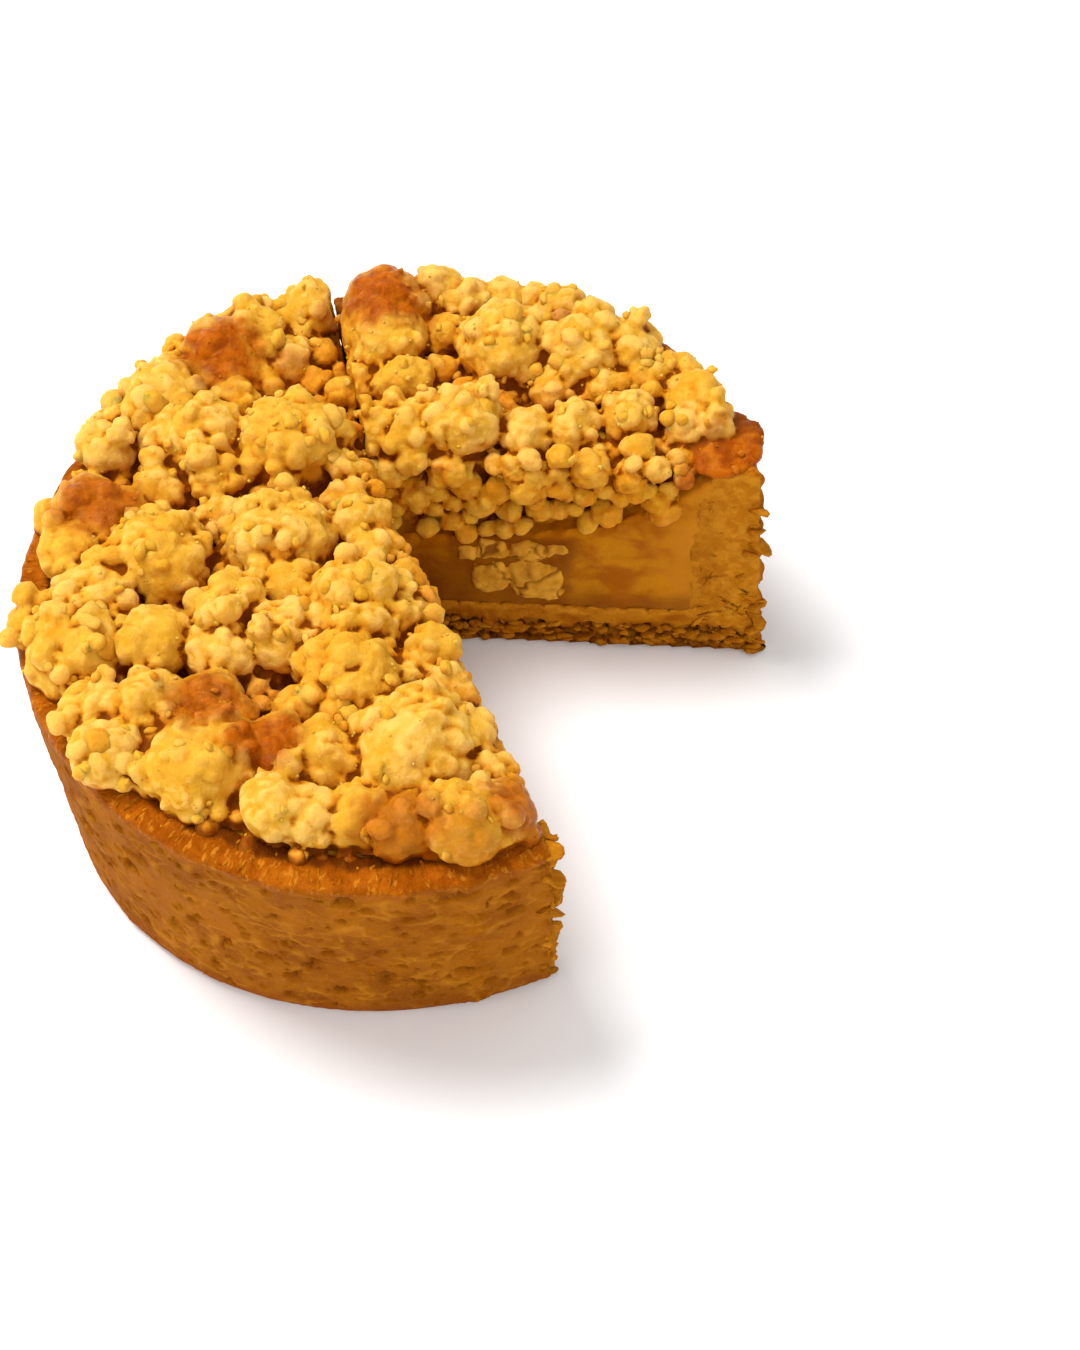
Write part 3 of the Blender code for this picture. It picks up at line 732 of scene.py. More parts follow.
def tuck(x, y, radius, cut, side):
    """Pulls a clump in, so that it stands out little past the rim and past the cut."""
    overhang = 1.0 if side > 0 or x < 5 else -0.4
    limit = outline(math.atan2(y, x), CRUST_HEIGHT) + overhang - radius
    share = min(1.0, limit / max(1.0, math.hypot(x, y)))
    x *= share
    y *= share
    ahead, left = from_tip(x, y, cut)
    past = side * left + radius - 0.2
    if ahead > 0 and past > 0:
        x, y = step((x, y), cut + math.pi / 2, -side * past)
    return x, y


def ball(centre, size, draw, lobe=0, spread=0.16):
    """A row of numbers: middle, three half widths, turn, and the lobe it belongs to."""
    sizes = [size * draw.uniform(1.0 - spread, 1.0 + spread) for _ in range(3)]
    turn = [draw.uniform(0, math.tau) for _ in range(3)]
    return [*centre, *sizes, *turn, lobe]


def over(radius, tall, count, lowest, draw):
    """Evenly spaced directions over a ball, from its top down to its lowest share."""
    start = draw.uniform(0, math.tau)
    for index in range(count):
        lift = 1.0 - (1.0 - lowest) * (index + 0.5) / count + draw.uniform(-0.12, 0.12)
        lift = max(-0.95, min(1.0, lift))
        turn = start + index * LOBE_TURN + draw.uniform(-0.4, 0.4)
        ring = math.sqrt(1.0 - lift * lift)
        yield ring * math.cos(turn), ring * math.sin(turn), lift * tall / radius


def pushed(centre, away, distance):
    return tuple(c + a * distance for c, a in zip(centre, away))


def knobs(centre, radius, tall, rough, draw):
    """A clump: its body and pressed-together lobes, and the small bumps on them."""
    if radius < PLAIN_RADIUS:
        return [ball(centre, radius, draw, 0, 0.28)], []
    share = 0.97 - 0.08 * rough
    balls = [[*centre, radius * share, radius * share, tall * share, 0, 0, 0, 0]]
    lobes = []
    bumps = []
    if rough < LOBES_FROM:
        lobes.append((centre, radius * 0.96, tall * 0.96, 0))
        for away in over(radius, tall, 4, 0.1, draw):
            size = radius * draw.uniform(0.42, 0.6)
            balls.append(ball(pushed(centre, away, radius - size * 0.97), size, draw))
    else:
        mean = (1.2 + 0.16 * radius) * (1.25 - 0.35 * rough)
        count = max(4, int(1.9 * (radius / mean) ** 2))
        for index, away in enumerate(over(radius, tall, count, -0.45, draw)):
            size = min(radius * 0.6, mean * draw.uniform(0.6, 1.3))
            spot = pushed(centre, away, radius - size * draw.uniform(0.76, 1.06))
            balls.append(ball(spot, size, draw, index + 1, 0.2))
            lobes.append((spot, size, size, index + 1))
    for spot, size, high, lobe in lobes if rough > 0 else []:
        grain = draw.uniform(0.75, 1.6)
        count = int(draw.uniform(0.0, 0.5) * (0.5 + rough) * (size / grain) ** 2)
        for away in over(size, high, count, -0.2, draw):
            bump = grain * draw.uniform(0.5, 1.3)
            loose = draw.random() < 0.35
            row = ball(pushed(spot, away, size - 0.45 * bump), bump, draw, lobe, 0.3)
            (bumps if loose else balls).append(row)
    return balls, bumps


def roomiest(tries, place, taken):
    """Of several drawn places, the one with the most room to the taken ones."""
    best = (-9.0, 0.0, 0.0)
    for _ in range(tries):
        x, y = place()
        space = min([math.hypot(x - c[0], y - c[1]) - c[2] for c in taken], default=2.0)
        best = max(best, (space, x, y))
    return best


def heap_balls(clumps, films, cut, side, apex, span, crumbs, largest, draw):
    """All balls of one heap, clump by clump, then its films and the crumbs between."""
    groups = []
    taken = []
    for x, y, full_radius, lift, rough in clumps:
        radius = full_radius * 0.95
        tall = radius * 0.86
        height = CLUMP_TOP + 0.36 * radius - tall + lift
        height = min(height, STREUSEL_BED - 1.0 + tall)
        x, y = tuck(*settle(x, y, height), radius, cut, side)
        taken.append((x, y, 0.74 * full_radius))
        groups.append(knobs((x, y, height), radius, tall, rough, draw))
        for away in over(radius, tall, draw.choice((0, 1, 2)), 0.1, draw):
            size = draw.uniform(1.2, 2.3)
            if rough > LOBES_FROM and radius > 4:
                spot = pushed((x, y, height), away, radius + 0.2 * size)
                groups.append(knobs(spot, size, size * 0.9, draw.choice((0.1, 0.5)), draw))
    for x, y, long, wide, turn, top, thick in films:
        x, y = settle(x, y, top)
        film = [x, y, top - thick, long, wide, thick, 0, 0, math.radians(turn), 0]
        taken.append((x, y, 0.9 * wide))
        groups.append(([film], []))

    def place():
        heading = draw.uniform(span[0] + 0.03, span[1] - 0.03)
        edge = reach(apex, heading, CRUST_HEIGHT, WALL_AT_RIM - 1.0)
        return step(apex, heading, edge * math.sqrt(draw.uniform(0.004, 1.0)))

    for _ in range(crumbs):
        space, x, y = roomiest(14, place, taken)
        size = min(largest, max(1.0, space * draw.uniform(0.7, 1.3)))
        taken.append((x, y, size * 0.8))
        height = STREUSEL_BED + draw.uniform(0.2, 0.8) * size
        groups.append(knobs((x, y, height), size, size * 0.9, draw.choice((0, 0.2, 0.5)), draw))
    return groups


def loose_bumps(groups):
    """The clumps' loose bumps, without those on the smooth browned places."""
    rows = [row for _, bumps in groups for row in bumps]
    browned = browned_at(np.array([row[:3] for row in rows], float))
    return [row for row, value in zip(rows, browned) if value < 0.35]


def bed_section(apex, heading):
    points = []
    edge = reach(apex, heading, 34.0, wall_at(34.0) - 0.2)
    for share in (0.0, 0.33, 0.66, 0.85, 0.97):
        distance = edge * share
        points.append((distance, filling_top(apex, heading, distance) + 0.2))
    rim = reach(apex, heading, CRUST_HEIGHT, WALL_AT_RIM - 0.6)
    points.append((rim, CRUST_HEIGHT - 0.5))
    for share in (0.94, 0.66, 0.33, 0.0):
        points.append((rim * share, STREUSEL_BED + 0.4))
    return points


def heap(name, node, bed, groups, heading, seam_side, tree, material):
    """Fuses bed and balls into one skin, then works creases, colours and painted shade into it."""
    balls = np.array([
        [*row[:9], clump * 100 + row[9], clump]
        for clump, (group, _) in enumerate(groups) for row in group
    ], float)
    big = balls[:, 3] > 2.2
    parts = [bed]
    for some, detail in ((balls[big], 3), (balls[~big], 2)):
        parts.append(balls_on("balls", tree, some, material, detail, unevenness=0.4, lumps=1.7))
    item = join(parts, name)
    even_skin(item, HEAP_DETAIL, 2)
    keep_largest(item)

    points, normals = shape_of(item)
    browned = browned_at(points)
    warp = fields(points, 2.0, 21, 22, 23)
    bulge = np.zeros(len(points))
    creases = np.zeros(len(points))
    for size, seed, strength in ((3.3, 7, 0.9), (1.7, 8, 0.45)):
        near, far = cells(points + warp * 0.9, size, seed)
        some = 0.45 + 0.55 * smooth_step(-0.15, 0.2, field(points, 4.5, seed + 1))
        bulge += strength * some * (0.3 - np.minimum(near, 0.85) ** 2)
        creases = np.maximum(creases, smooth_step(0.25, 0.0, far - near) * some * strength)
    wrinkles = 1.0 - 2.5 * np.abs(field(points + warp * 1.2, 1.7, 9))
    push = bulge + 0.1 * field(points, 1.9, 5) + 0.06 * field(points, 0.8, 6)
    push = push * (1 - browned) + 0.2 * wrinkles * browned - 0.9 * hollows(item, 5)
    points = close_seam(points + normals * push[:, None], seam_side)
    move_points(item, points)

    normals = normals_of(item)
    height = points[:, 2]
    # Painted shade, gathered below into one value: darker in fine and wide hollows, on the bare
    # bed between clumps, on undersides, in low gaps between clumps, along creases and where the
    # heap meets the rim.
    fine = smooth_step(0.02, 0.22, hollows(item, 5))
    wide = smooth_step(0.05, 0.75, hollows(item, 40))
    own = balls[nearest(balls[:, :3], points)]
    lobe, clump = own[:, 9], own[:, 10]
    tone = 0.4 * np.sin(clump * 12.9898 + 1.0) + 0.3 * np.sin((lobe + 1.0) * 78.233)
    # Painted highlight: parts that stand out above their surroundings are paler.
    tone = tone + 0.7 * smooth_step(0.02, 0.16, -hollows(item, 8))
    corner = np.hypot(points[:, 0] - PALE_CORNER[0], points[:, 1] - PALE_CORNER[1])
    tone = tone + 0.8 * smooth_step(7.0, 3.0, corner) * (height > 37)
    # Painted shade: crumbs below 40 mm, on the cut faces, darker and more orange.
    tone = tone - 1.2 * smooth_step(40.0, 35.0, height)
    outside = np.linalg.norm(points - own[:, :3], axis=1) - own[:, 3:6].mean(axis=1)
    bed_shade = smooth_step(0.3, 1.0, outside) * smooth_step(41.0, 38.5, height)
    bed_shade *= 1.0 - 0.55 * smooth_step(0.7, 0.3, np.abs(normals[:, 2]))
    under = smooth_step(0.5, -0.5, normals[:, 2])
    away = np.hypot(points[:, 0], points[:, 1])
    low = smooth_step(44.0, 39.5, height)
    low *= smooth_step(52.0, 43.0, away) * smooth_step(36.0, 39.0, height)
    if seam_side > 0:
        off = np.abs(from_tip(points[:, 0], points[:, 1], heading)[1])
        low *= 0.35 + 0.65 * smooth_step(3.0, 8.0, off)
    contact_shade = smooth_step(40.6, 39.4, height) * smooth_step(44.0, 49.0, away)
    shade = 0.34 * fine + 0.7 * wide + 0.9 * bed_shade + 0.15 * under + 0.38 * low
    shade = np.clip(shade + 0.2 * creases + 0.8 * contact_shade, 0, 1)
    thin(item, HEAP_TRIANGLES, {"painted_shade": shade, "tone": tone, "browned": browned})
    finish_piece(item, node, material)
    return points, normals, shade


def nearest(middles, points):
    finder = KDTree(len(middles))
    for index, middle in enumerate(middles):
        finder.insert(middle, index)
    finder.balance()
    return np.array([finder.find(point)[1] for point in points])


def seated(rows, surface, draw):
    """Moves small balls onto the heap's surface, half sunk, and drops hidden ones."""
    points, normals, _ = surface
    found = nearest(points, [row[:3] for row in rows])
    kept = []
    for row, index in zip(rows, found):
        away = np.array(row[:3]) - points[index]
        if np.linalg.norm(away) < BUMP_REACH:
            sunk = row[3] * draw.uniform(-0.35, 0.25)
            kept.append([*(points[index] + normals[index] * sunk), *row[3:]])
    return kept


def scattered(surface, count, sizes, flat, draw):
    """Small uneven crumbs on random places of a heap's upper side."""
    points, normals, _ = surface
    rows = []
    while len(rows) < count:
        index = int(draw.random() * len(points))
        if normals[index, 2] <= -0.1 or points[index, 2] <= STREUSEL_BED:
            continue
        size = draw.uniform(*sizes)
        row = ball(points[index] + normals[index] * size * draw.uniform(-0.2, 0.5), size, draw)
        row[5] *= draw.uniform(flat, 1.0)
        rows.append(row)
    return rows


def loose_crumbs(name, rows, surfaces, tree, material, detail, unevenness, pale):
    """Separate small crumbs, which take painted shade from the heap beneath them, with more
    painted shade on their undersides.
    """
    rows = np.array(rows, float)
    item = balls_on(name, tree, rows, material, detail, unevenness, lumps=1.8)
    points = points_of(item)
    owner = owners(points, rows)
    heap_points = np.concatenate([surface[0] for surface in surfaces])
    heap_shade = np.concatenate([surface[2] for surface in surfaces])
    # Painted shade on the undersides and from the heap's painted shade.
    under = smooth_step(0.3, -0.6, normals_of(item)[:, 2])
    shade = 0.3 * heap_shade[nearest(heap_points, rows[:, :3])][owner] + 0.3 * under
    set_value(item, "painted_shade", np.clip(shade, 0, 1))
    set_value(item, "tone", pale + 0.4 * np.sin(owner * 12.9898))
    set_value(item, "browned", 0.85 * browned_at(points))
    finish_piece(item, None, material)


def hollows(item, rounds):
    """How deep each point lies below its surroundings; negative if it stands out."""
    points = points_of(item)
    edges = read(item.data.edges, "vertices", np.int32, 2)
    one, two = edges.T
    number = np.bincount(edges.ravel(), minlength=len(points))[:, None]
    soft = points
    for _ in range(rounds):
        total = np.column_stack([
            np.bincount(one, soft[two, axis], len(points))
            + np.bincount(two, soft[one, axis], len(points)) for axis in range(3)
        ])
        soft = total / number
    return ((soft - points) * normals_of(item)).sum(axis=1)


def thin(item, triangles, values):
    """Thins the mesh to a number of triangles, then stores the values on what is left."""
    old = points_of(item)
    share = triangles / (2 * len(item.data.polygons))
    if share < 1:
        collapse = item.modifiers.new("thin", "DECIMATE")
        collapse.ratio = share
        apply_modifiers(item)
    found = nearest(old, points_of(item))
    for name, numbers in values.items():
        set_value(item, name, numbers[found])


def browned_at(points):
    wander = 0.30 * field(points, 2.6, 11) + 0.16 * field(points, 1.0, 12)
    total = np.zeros(len(points))
    for x, y, radius, strength in BROWNED:
        x, y = settle(x, y, BROWNED_HEIGHT)
        share = np.hypot(points[:, 0] - x, points[:, 1] - y) / radius
        total = np.maximum(total, strength * smooth_step(1.05, 0.45, share + wander))
    return total


def close_seam(points, side):
    """Flattens what stands past the seam, which is shut but for its end at the back rim."""
    ahead, left = from_tip(points[:, 0], points[:, 1], SEAM_CUT)
    wander = 1.1 * flat_field(ahead / 4.0, points[:, 2] / 5.0, 60)
    offset = wander - side * (0.03 + 0.9 * smooth_step(24.0, 37.0, ahead))
    past = np.where(ahead > 0.0, np.maximum(side * (left - offset), 0.0), 0.0)
    moved = points.copy()
    across = np.array([-math.sin(SEAM_CUT), math.cos(SEAM_CUT)])
    moved[:, :2] -= side * past[:, None] * across
    return moved


def keep_largest(item):
    """Drops scraps that hang free of the main body."""
    mesh = item.data
    one, two = read(mesh.edges, "vertices", np.int32, 2).T
    label = np.arange(len(mesh.vertices))
    while True:
        low = np.minimum(label[one], label[two])
        before = label.copy()
        np.minimum.at(label, one, low)
        np.minimum.at(label, two, low)
        label = label[label]
        if np.array_equal(before, label):
            break
    values, sizes = np.unique(label, return_counts=True)
    if len(values) == 1:
        return
    main = values[np.argmax(sizes)]
    bm = bmesh.new()
    bm.from_mesh(mesh)
    bm.verts.ensure_lookup_table()
    scraps = [bm.verts[index] for index in np.nonzero(label != main)[0]]
    bmesh.ops.delete(bm, geom=scraps, context="VERTS")
    bm.to_mesh(mesh)
    bm.free()


def face_balls(rows, heading, side, bare, length, count, largest, sunk, draw):
    """Crumbs that show on a cut face: the ones read from the photo and some between them."""
    rows = list(rows)

    def place():
        distance = draw.uniform(bare, length)
        low = filling_top(WEDGE_TIP, heading, distance) + 1.6
        return distance, draw.uniform(low, max(low, FACE_TOP))

    for _ in range(count):
        taken = [(row[0], row[1], 0.8 * row[2]) for row in rows]
        space, distance, height = roomiest(12, place, taken)
        size = min(largest, max(1.6, space * draw.uniform(0.9, 1.4)))
        rows.append((distance, height, size, draw.choice((0.1, 0.5, 0.8))))
    groups = []
    for distance, height, radius, rough in rows:
        x, y = step(WEDGE_TIP, heading, distance)
        x, y = step((x, y), heading + side * math.pi / 2, radius * sunk - 0.1)
        rough = max(rough, 0.4) if radius > 2.4 else min(rough, 0.2)
        groups.append(knobs((x, y, height), radius, radius * 0.95, rough, draw))
    return groups


def tip_balls(draw):
    return [
        knobs((x, y, height), radius, radius * 1.1, 0.3, draw)
        for x, y, height, radius in TIP_CRUMBS
    ]


# Crust

def crust_section(apex, heading):
    foot = reach(apex, heading, 0.0, 1.0)
    points = [(0.0, 0.0), (foot * 0.6, 0.0), (foot, 0.0)]
    points.append((reach(apex, heading, 0.5, 0.3), 0.4))
    for height in (1.4, 6.0, 12.0, 18.0, 24.0, 30.0, 35.0, 38.0):
        points.append((reach(apex, heading, height, 0.0), height))
    for inset, lift in ((0.4, -0.35), (1.0, -0.05), (3.4, 0.05)):
        points.append((reach(apex, heading, CRUST_HEIGHT, inset), CRUST_HEIGHT + lift))
    for height in (CRUST_HEIGHT - 0.35, 34.0, 26.0, FLOOR_HEIGHT):
        points.append((reach(apex, heading, height, wall_at(height)), height))
    points.append((0.0, FLOOR_HEIGHT))
    return points


def crust(name, node, apex, span, material):
    """The crust cup with its pits, streaks, glossy rim and crumbly cut faces."""
    item = sweep(name, apex, fan(apex, *span, 150), crust_section)
    even_skin(item, CRUST_DETAIL, 1)
    points, normals = shape_of(item)
    radius = np.hypot(points[:, 0], points[:, 1])
    angle = np.arctan2(points[:, 1], points[:, 0])
    height = points[:, 2]
    depth = outline(angle, height) - radius
    ray = points[:, :2] / radius[:, None]
    outward = normals[:, 0] * ray[:, 0] + normals[:, 1] * ray[:, 1]

    inside = np.zeros(len(points))
    offs = []
    for heading, side in zip(span, (-1, 1)):
        across = np.array([-math.sin(heading), math.cos(heading)]) * side
        facing = normals[:, :2] @ across
        offs.append(np.abs((points[:, :2] - np.array(apex)) @ across))
        inside = np.maximum(inside, smooth_step(0.5, 0.9, facing) * (offs[-1] < 1.0))
    outer = smooth_step(0.3, 0.8, outward) * smooth_step(2.4, 1.2, depth) * (1 - inside)
    rim = smooth_step(0.4, 0.9, normals[:, 2]) * (height > CRUST_HEIGHT - 2) * (1 - inside)
    grounded = smooth_step(0.2, 1.6, height)

    turn = (angle - FRONT_CUT - 0.5) % math.tau
    arc = np.column_stack([turn * ARC_RADIUS, height, np.zeros(len(points))])
    dent = np.zeros(len(points))
    for size, seed, share, half, deep in (
        (6.0, 1, 0.5, (1.1, 1.2), 1.0), (4.0, 2, 0.5, (0.7, 0.8), 0.8),
        (2.6, 3, 0.55, (0.38, 0.42), 0.7),
    ):
        dent += dents(arc, size, seed, share, half) * deep
    dent *= outer * grounded * smooth_step(CRUST_HEIGHT, CRUST_HEIGHT - 3.0, height)
    streak = flat_field(arc[:, 0] / 2.6, height / 1.5, 4)
    broad = field(points, 8.0, 5) * 0.30 + field(points, 3.2, 6) * 0.16
    # Fold lines: raised a little here, and painted lighter as a highlight in the finish.
    fold = folds(arc) * outer * grounded
    wall = broad + streak * 0.04 + field(points, 1.1, 7) * 0.08 - dent + fold * 0.14
    scallop = np.abs(np.sin(height * 0.62 + field(points, 4.0, 17) * 2.0)) - 0.35
    for off in offs:
        wall = wall + smooth_step(2.4, 0.2, off) * scallop * 0.75

    radial = flat_field(arc[:, 0], radius / 4.5, 8)
    top = radial * 0.36 + field(points, 2.6, 9) * 0.3 + field(points, 0.9, 10) * 0.12

    flaky = smooth_step(5.4, 4.4, height + field(points, 5.0, 13) * 1.2)
    plate = np.column_stack([points[:, 0] / 2.3, points[:, 1] / 2.3, height / 1.15])
    near, far = cells(plate + field(points, 2.0, 19)[:, None] * 0.2, 1.0, 14)
    gap = smooth_step(0.22, 0.05, far - near)
    line = field(points, 3.0, 28) * 1.2
    crumbly = field(points, 1.5, 15) * 0.42 + field(points, 0.7, 16) * 0.2
    cut = crumbly * (0.3 + 0.4 * smooth_step(8.0, 5.0, depth)) * (1 - flaky)
    cut = cut + flaky * (0.1 - gap * 0.9 + crumbly * 0.5)

    push = outer * wall * grounded + rim * top + inside * cut * smooth_step(0.0, 0.8, height)
    points = points + normals * push[:, None]
    points[:, 2] = np.maximum(points[:, 2], 0.0)
    move_points(item, points)
    thin(item, CRUST_TRIANGLES, {
        # Painted shade in the dents, from their depth.
        "pit": np.clip(dent, 0, 1),
        "fold": fold,
        "shaded": rim * smooth_step(3.5, 4.6, depth + field(points, 2.0, 18) * 0.7),
        "around": np.column_stack([arc[:, 0], height, radius / 2.4]) * MM,
        "rim": np.clip(rim + smooth_step(36.6, 38.6, height) * outer * 0.8, 0, 1),
        "inside": inside,
        # Darker on the flaky base layer, most in the gaps between plates, which is painted shade.
        "layer": inside * flaky * (0.45 + 0.55 * gap),
        "foot": smooth_step(5.0, 1.0, height) * outer,
        "soak": inside * smooth_step(4.0, 9.0, depth + field(points, 2.5, 27) * 2.0)
        * (1.0 - 0.45 * smooth_step(9.0, 13.0, height))
        * (1 - smooth_step(7.0, 7.7, height + line) * smooth_step(9.3, 8.7, height + line)),
    })
    finish_piece(item, node, material)
    return points, normals, {"rim": rim, "inside": inside, "depth": depth}


def folds(arc):
    """Arched wrinkles: parts of the borders between bulges of the dough."""
    shaped = arc * np.array([0.62, 1.0, 1.0])
    warp = np.column_stack([fields(arc, 3.0, 51, 52), arc[:, 2]])
    near, far = cells(shaped + warp * 0.9, 2.7, 53)
    line = smooth_step(0.16, 0.02, far - near)
    return line * smooth_step(-0.05, 0.25, field(arc, 4.0, 54))


def dents(arc, size, seed, share, half):
    """Small hollows in some of the cells, steep at the top and shallow towards the bottom."""
    warp = np.column_stack([fields(arc, 1.8, seed + 20, seed + 30), arc[:, 2]])
    shaped = arc + warp * 0.5
    shift = Vector((seed * 5.7, seed * 9.3, 0.5))
    depth = np.zeros(len(arc))
    for index, point in enumerate(shaped / size):
        place = Vector(point) + shift
        middle = noise.voronoi(place)[1][0]
        mark = (middle.x * 12.9898 + middle.y * 78.233) % 1.0
        if mark < share:
            continue
        grown = 0.6 + 0.8 * (mark - share) / (1.0 - share)
        across = (place.x - middle.x) * size / (half[0] * grown)
        rise = (place.y - middle.y) * size / (half[1] * grown) + 0.35 * across * across
        away = math.hypot(across, rise)
        if away < 1.0:
            edge = min(1.0, (1.0 - away) * 3.0)
            depth[index] = edge * (0.2 + 0.8 * (rise + 1.0) / 2.0) * grown
        elif away < 1.6:
            depth[index] = -0.16 * (1.6 - away) / 0.6 * grown
    return depth


def on_surface(surface, kind, count, where, draw):
    """Random points of a crust surface where its own value is high."""
    points, normals, values = surface
    found = np.nonzero(values[kind] > 0.8)[0]
    picked = []
    while len(picked) < count:
        index = found[int(draw.random() * len(found))]
        if where(points[index], values["depth"][index]):
            picked.append((points[index], normals[index]))
    return picked


def flake(spot, normal, heading, rise, sizes, lift, draw):
    """A row of numbers for a flake that points along a heading and upwards by its rise."""
    place = spot + normal * lift
    return [*place, *sizes, draw.uniform(-0.5, 0.5), -rise, heading]


def flakes(rest, cut, draw):
    """Fibres on the rim, flakes on the cut walls and baked plates along the cut base."""
    rows = []
    soak = []
    for surface, count in ((rest, 170), (cut, 60)):
        for spot, normal in on_surface(surface, "rim", count, lambda p, d: 0.8 < d < 5.0, draw):
            heading = math.atan2(spot[1], spot[0]) + draw.uniform(-0.45, 0.45)
            sizes = (draw.uniform(0.25, 0.9), draw.uniform(0.14, 0.26), draw.uniform(0.1, 0.2))
            rows.append(flake(spot, normal, heading, draw.uniform(-0.2, 0.2), sizes, -0.02, draw))
            soak.append(1.0)
    for surface, heading, low, high, count, length, wide, thick, turn in (
        (cut, RIGHT_CUT, 1.0, 17.0, 26, (0.9, 2.4), 0.15, 0.12, 1.2),
        (cut, RIGHT_CUT, 16.0, 38.0, 12, (0.3, 0.8), 0.22, 0.14, 1.5),
        (rest, FRONT_CUT, 1.0, 38.0, 40, (0.7, 1.8), 0.3, 0.2, 1.3),
    ):
        for spot, normal in on_surface(
            surface, "inside", count,
            lambda p, d: low < p[2] < high and d < 9.0 and facing_gap(p, heading), draw,
        ):
            size = draw.uniform(*length)
            rise = draw.uniform(-turn, turn)
            rows.append(flake(spot, normal, heading, rise, (size, wide, thick), 0.1, draw))
            soak.append(0.0)
    for surface, heading, side, count, deepest in (
        (rest, FRONT_CUT, 1, 90, 9.0), (cut, RIGHT_CUT, -1, 9, 1.6),
    ):
        for spot, normal in on_surface(
            surface, "inside", count,
            lambda p, d: p[2] < 38.5 and d < deepest and facing_gap(p, heading), draw,
        ):
            sizes = (draw.uniform(1.1, 3.2), draw.uniform(0.6, 1.7), draw.uniform(0.3, 0.5))
            aim = heading + side * math.pi / 2 + draw.uniform(-1.0, 1.0)
            rows.append(flake(spot, normal, aim, draw.uniform(-0.5, 0.5), sizes, 0.0, draw))
            soak.append(draw.choice((0.0, 0.4)))
    for surface, heading, count in ((cut, RIGHT_CUT, 150), (rest, FRONT_CUT, 170)):
        for spot, normal in on_surface(
            surface, "inside", count,
            lambda p, d: 0.6 < p[2] < 4.6 and facing_gap(p, heading), draw,
        ):
            sizes = (draw.uniform(0.6, 1.5), draw.uniform(0.4, 0.8), draw.uniform(0.25, 0.6))
            rows.append(flake(spot, normal, heading, draw.uniform(-0.35, 0.35), sizes, -0.1, draw))
            soak.append(draw.uniform(0.3, 1.0))
    return rows, soak


def facing_gap(spot, heading):
    """Whether a point lies on the cut towards the missing wedge, not on the seam."""
    ahead, left = from_tip(spot[0], spot[1], heading)
    return abs(left) < 2.0 and ahead > 0


def crust_flakes(rest, cut, tree, material, draw):
    rows, soak = flakes(rest, cut, draw)
    item = balls_on("crust_flakes", tree, rows, material, detail=2, unevenness=0.7, lumps=2.4)
    points = points_of(item)
    owner = owners(points, rows)
    low = smooth_step(1.6, 0.2, points[:, 2])
    points[:, 2] = np.maximum(points[:, 2], 0.05)
    move_points(item, points)
    set_value(item, "inside", np.ones(len(points)))
    set_value(item, "soak", np.array(soak)[owner])
    set_value(item, "layer", low * 0.5)
    set_value(item, "around", points * MM)
    finish_piece(item, None, material)


# Filling and marzipan

def filling_top(apex, heading, distance):
    """The filling lies lower in the middle of the tart and climbs the wall."""
    x, y = step(apex, heading, distance)
    radius = math.hypot(x, y)
    climb = max(0.0, min(1.0, (radius - CLIMB_START) / CLIMB_WIDTH))
    rise = FILLING_RISE * radius**2 + CLIMB_HEIGHT * climb**2 * (3 - 2 * climb)
    return min(FILLING_MIDDLE + rise, FILLING_LIMIT)


def filling_section(apex, heading):
    low = FLOOR_HEIGHT - 0.1
    points = [(0.0, low)]
    edge = 0.0
    for height in (low, 17.0, 26.0, 32.0, 36.0):
        edge = reach(apex, heading, height, wall_at(height) - 2.8)
        points.append((edge, height))
    for share in (0.97, 0.85, 0.66, 0.33, 0.0):
        distance = edge * share
        points.append((distance, filling_top(apex, heading, distance) + 0.5))
    return points


def filling(name, node, apex, span, material):
    item = sweep(name, apex, fan(apex, *span, 60), filling_section)
    even_skin(item, FILLING_DETAIL, 2)
    points, normals = shape_of(item)
    upright = smooth_step(0.7, 0.2, np.abs(normals[:, 2]))
    push = field(points, 5.0, 31) * 0.35 + field(points, 1.8, 32) * 0.12
    edge = outline(np.arctan2(points[:, 1], points[:, 0]), points[:, 2])
    depth = edge - np.hypot(points[:, 0], points[:, 1])
    wall = np.array([wall_at(height) for height in points[:, 2]])
    push = push * smooth_step(-1.0, 1.5, depth - wall)
    ragged = field(points, 3.5, 36) * 1.8 + field(points, 1.2, 33) * 0.8
    push = push - smooth_step(-0.7, -1.5, depth - wall + ragged) * 0.7
    move_points(item, points + normals * (push * upright)[:, None])
    away = np.hypot(points[:, 0] - WEDGE_TIP[0], points[:, 1] - WEDGE_TIP[1])
    height = points[:, 2] + field(points, 5.0, 35) * 2.0
    shade = smooth_step(34.0, 8.0, away) * smooth_step(25.0, 13.0, height) * 0.9
    shade = np.maximum(shade, smooth_step(14.0, 9.5, height) * 0.75)
    set_value(item, "shade", np.maximum(shade, 0.8 * beside_blocks(points)))
    set_value(item, "gold", smooth_step(7.0, 0.0, depth - wall + field(points, 3.0, 34) * 5.0))
    finish_piece(item, node, material)


def beside_blocks(points):
    """1 just around a pale block of the cut face, 0 away from them."""
    along, left = from_tip(points[:, 0], points[:, 1], RIGHT_CUT)
    around = np.full(len(points), 9.0)
    for distance, height, half_width, half_height, _ in BLOCKS[:-1]:
        across = np.maximum(np.abs(along - distance) - half_width, 0.0)
        rise = np.maximum(np.abs(points[:, 2] - height) - half_height, 0.0)
        around = np.minimum(around, np.hypot(across, rise))
    around = around + 1.2 * field(points, 2.5, 37)
    return smooth_step(2.4, 0.2, around) * smooth_step(3.0, 1.0, np.abs(left))


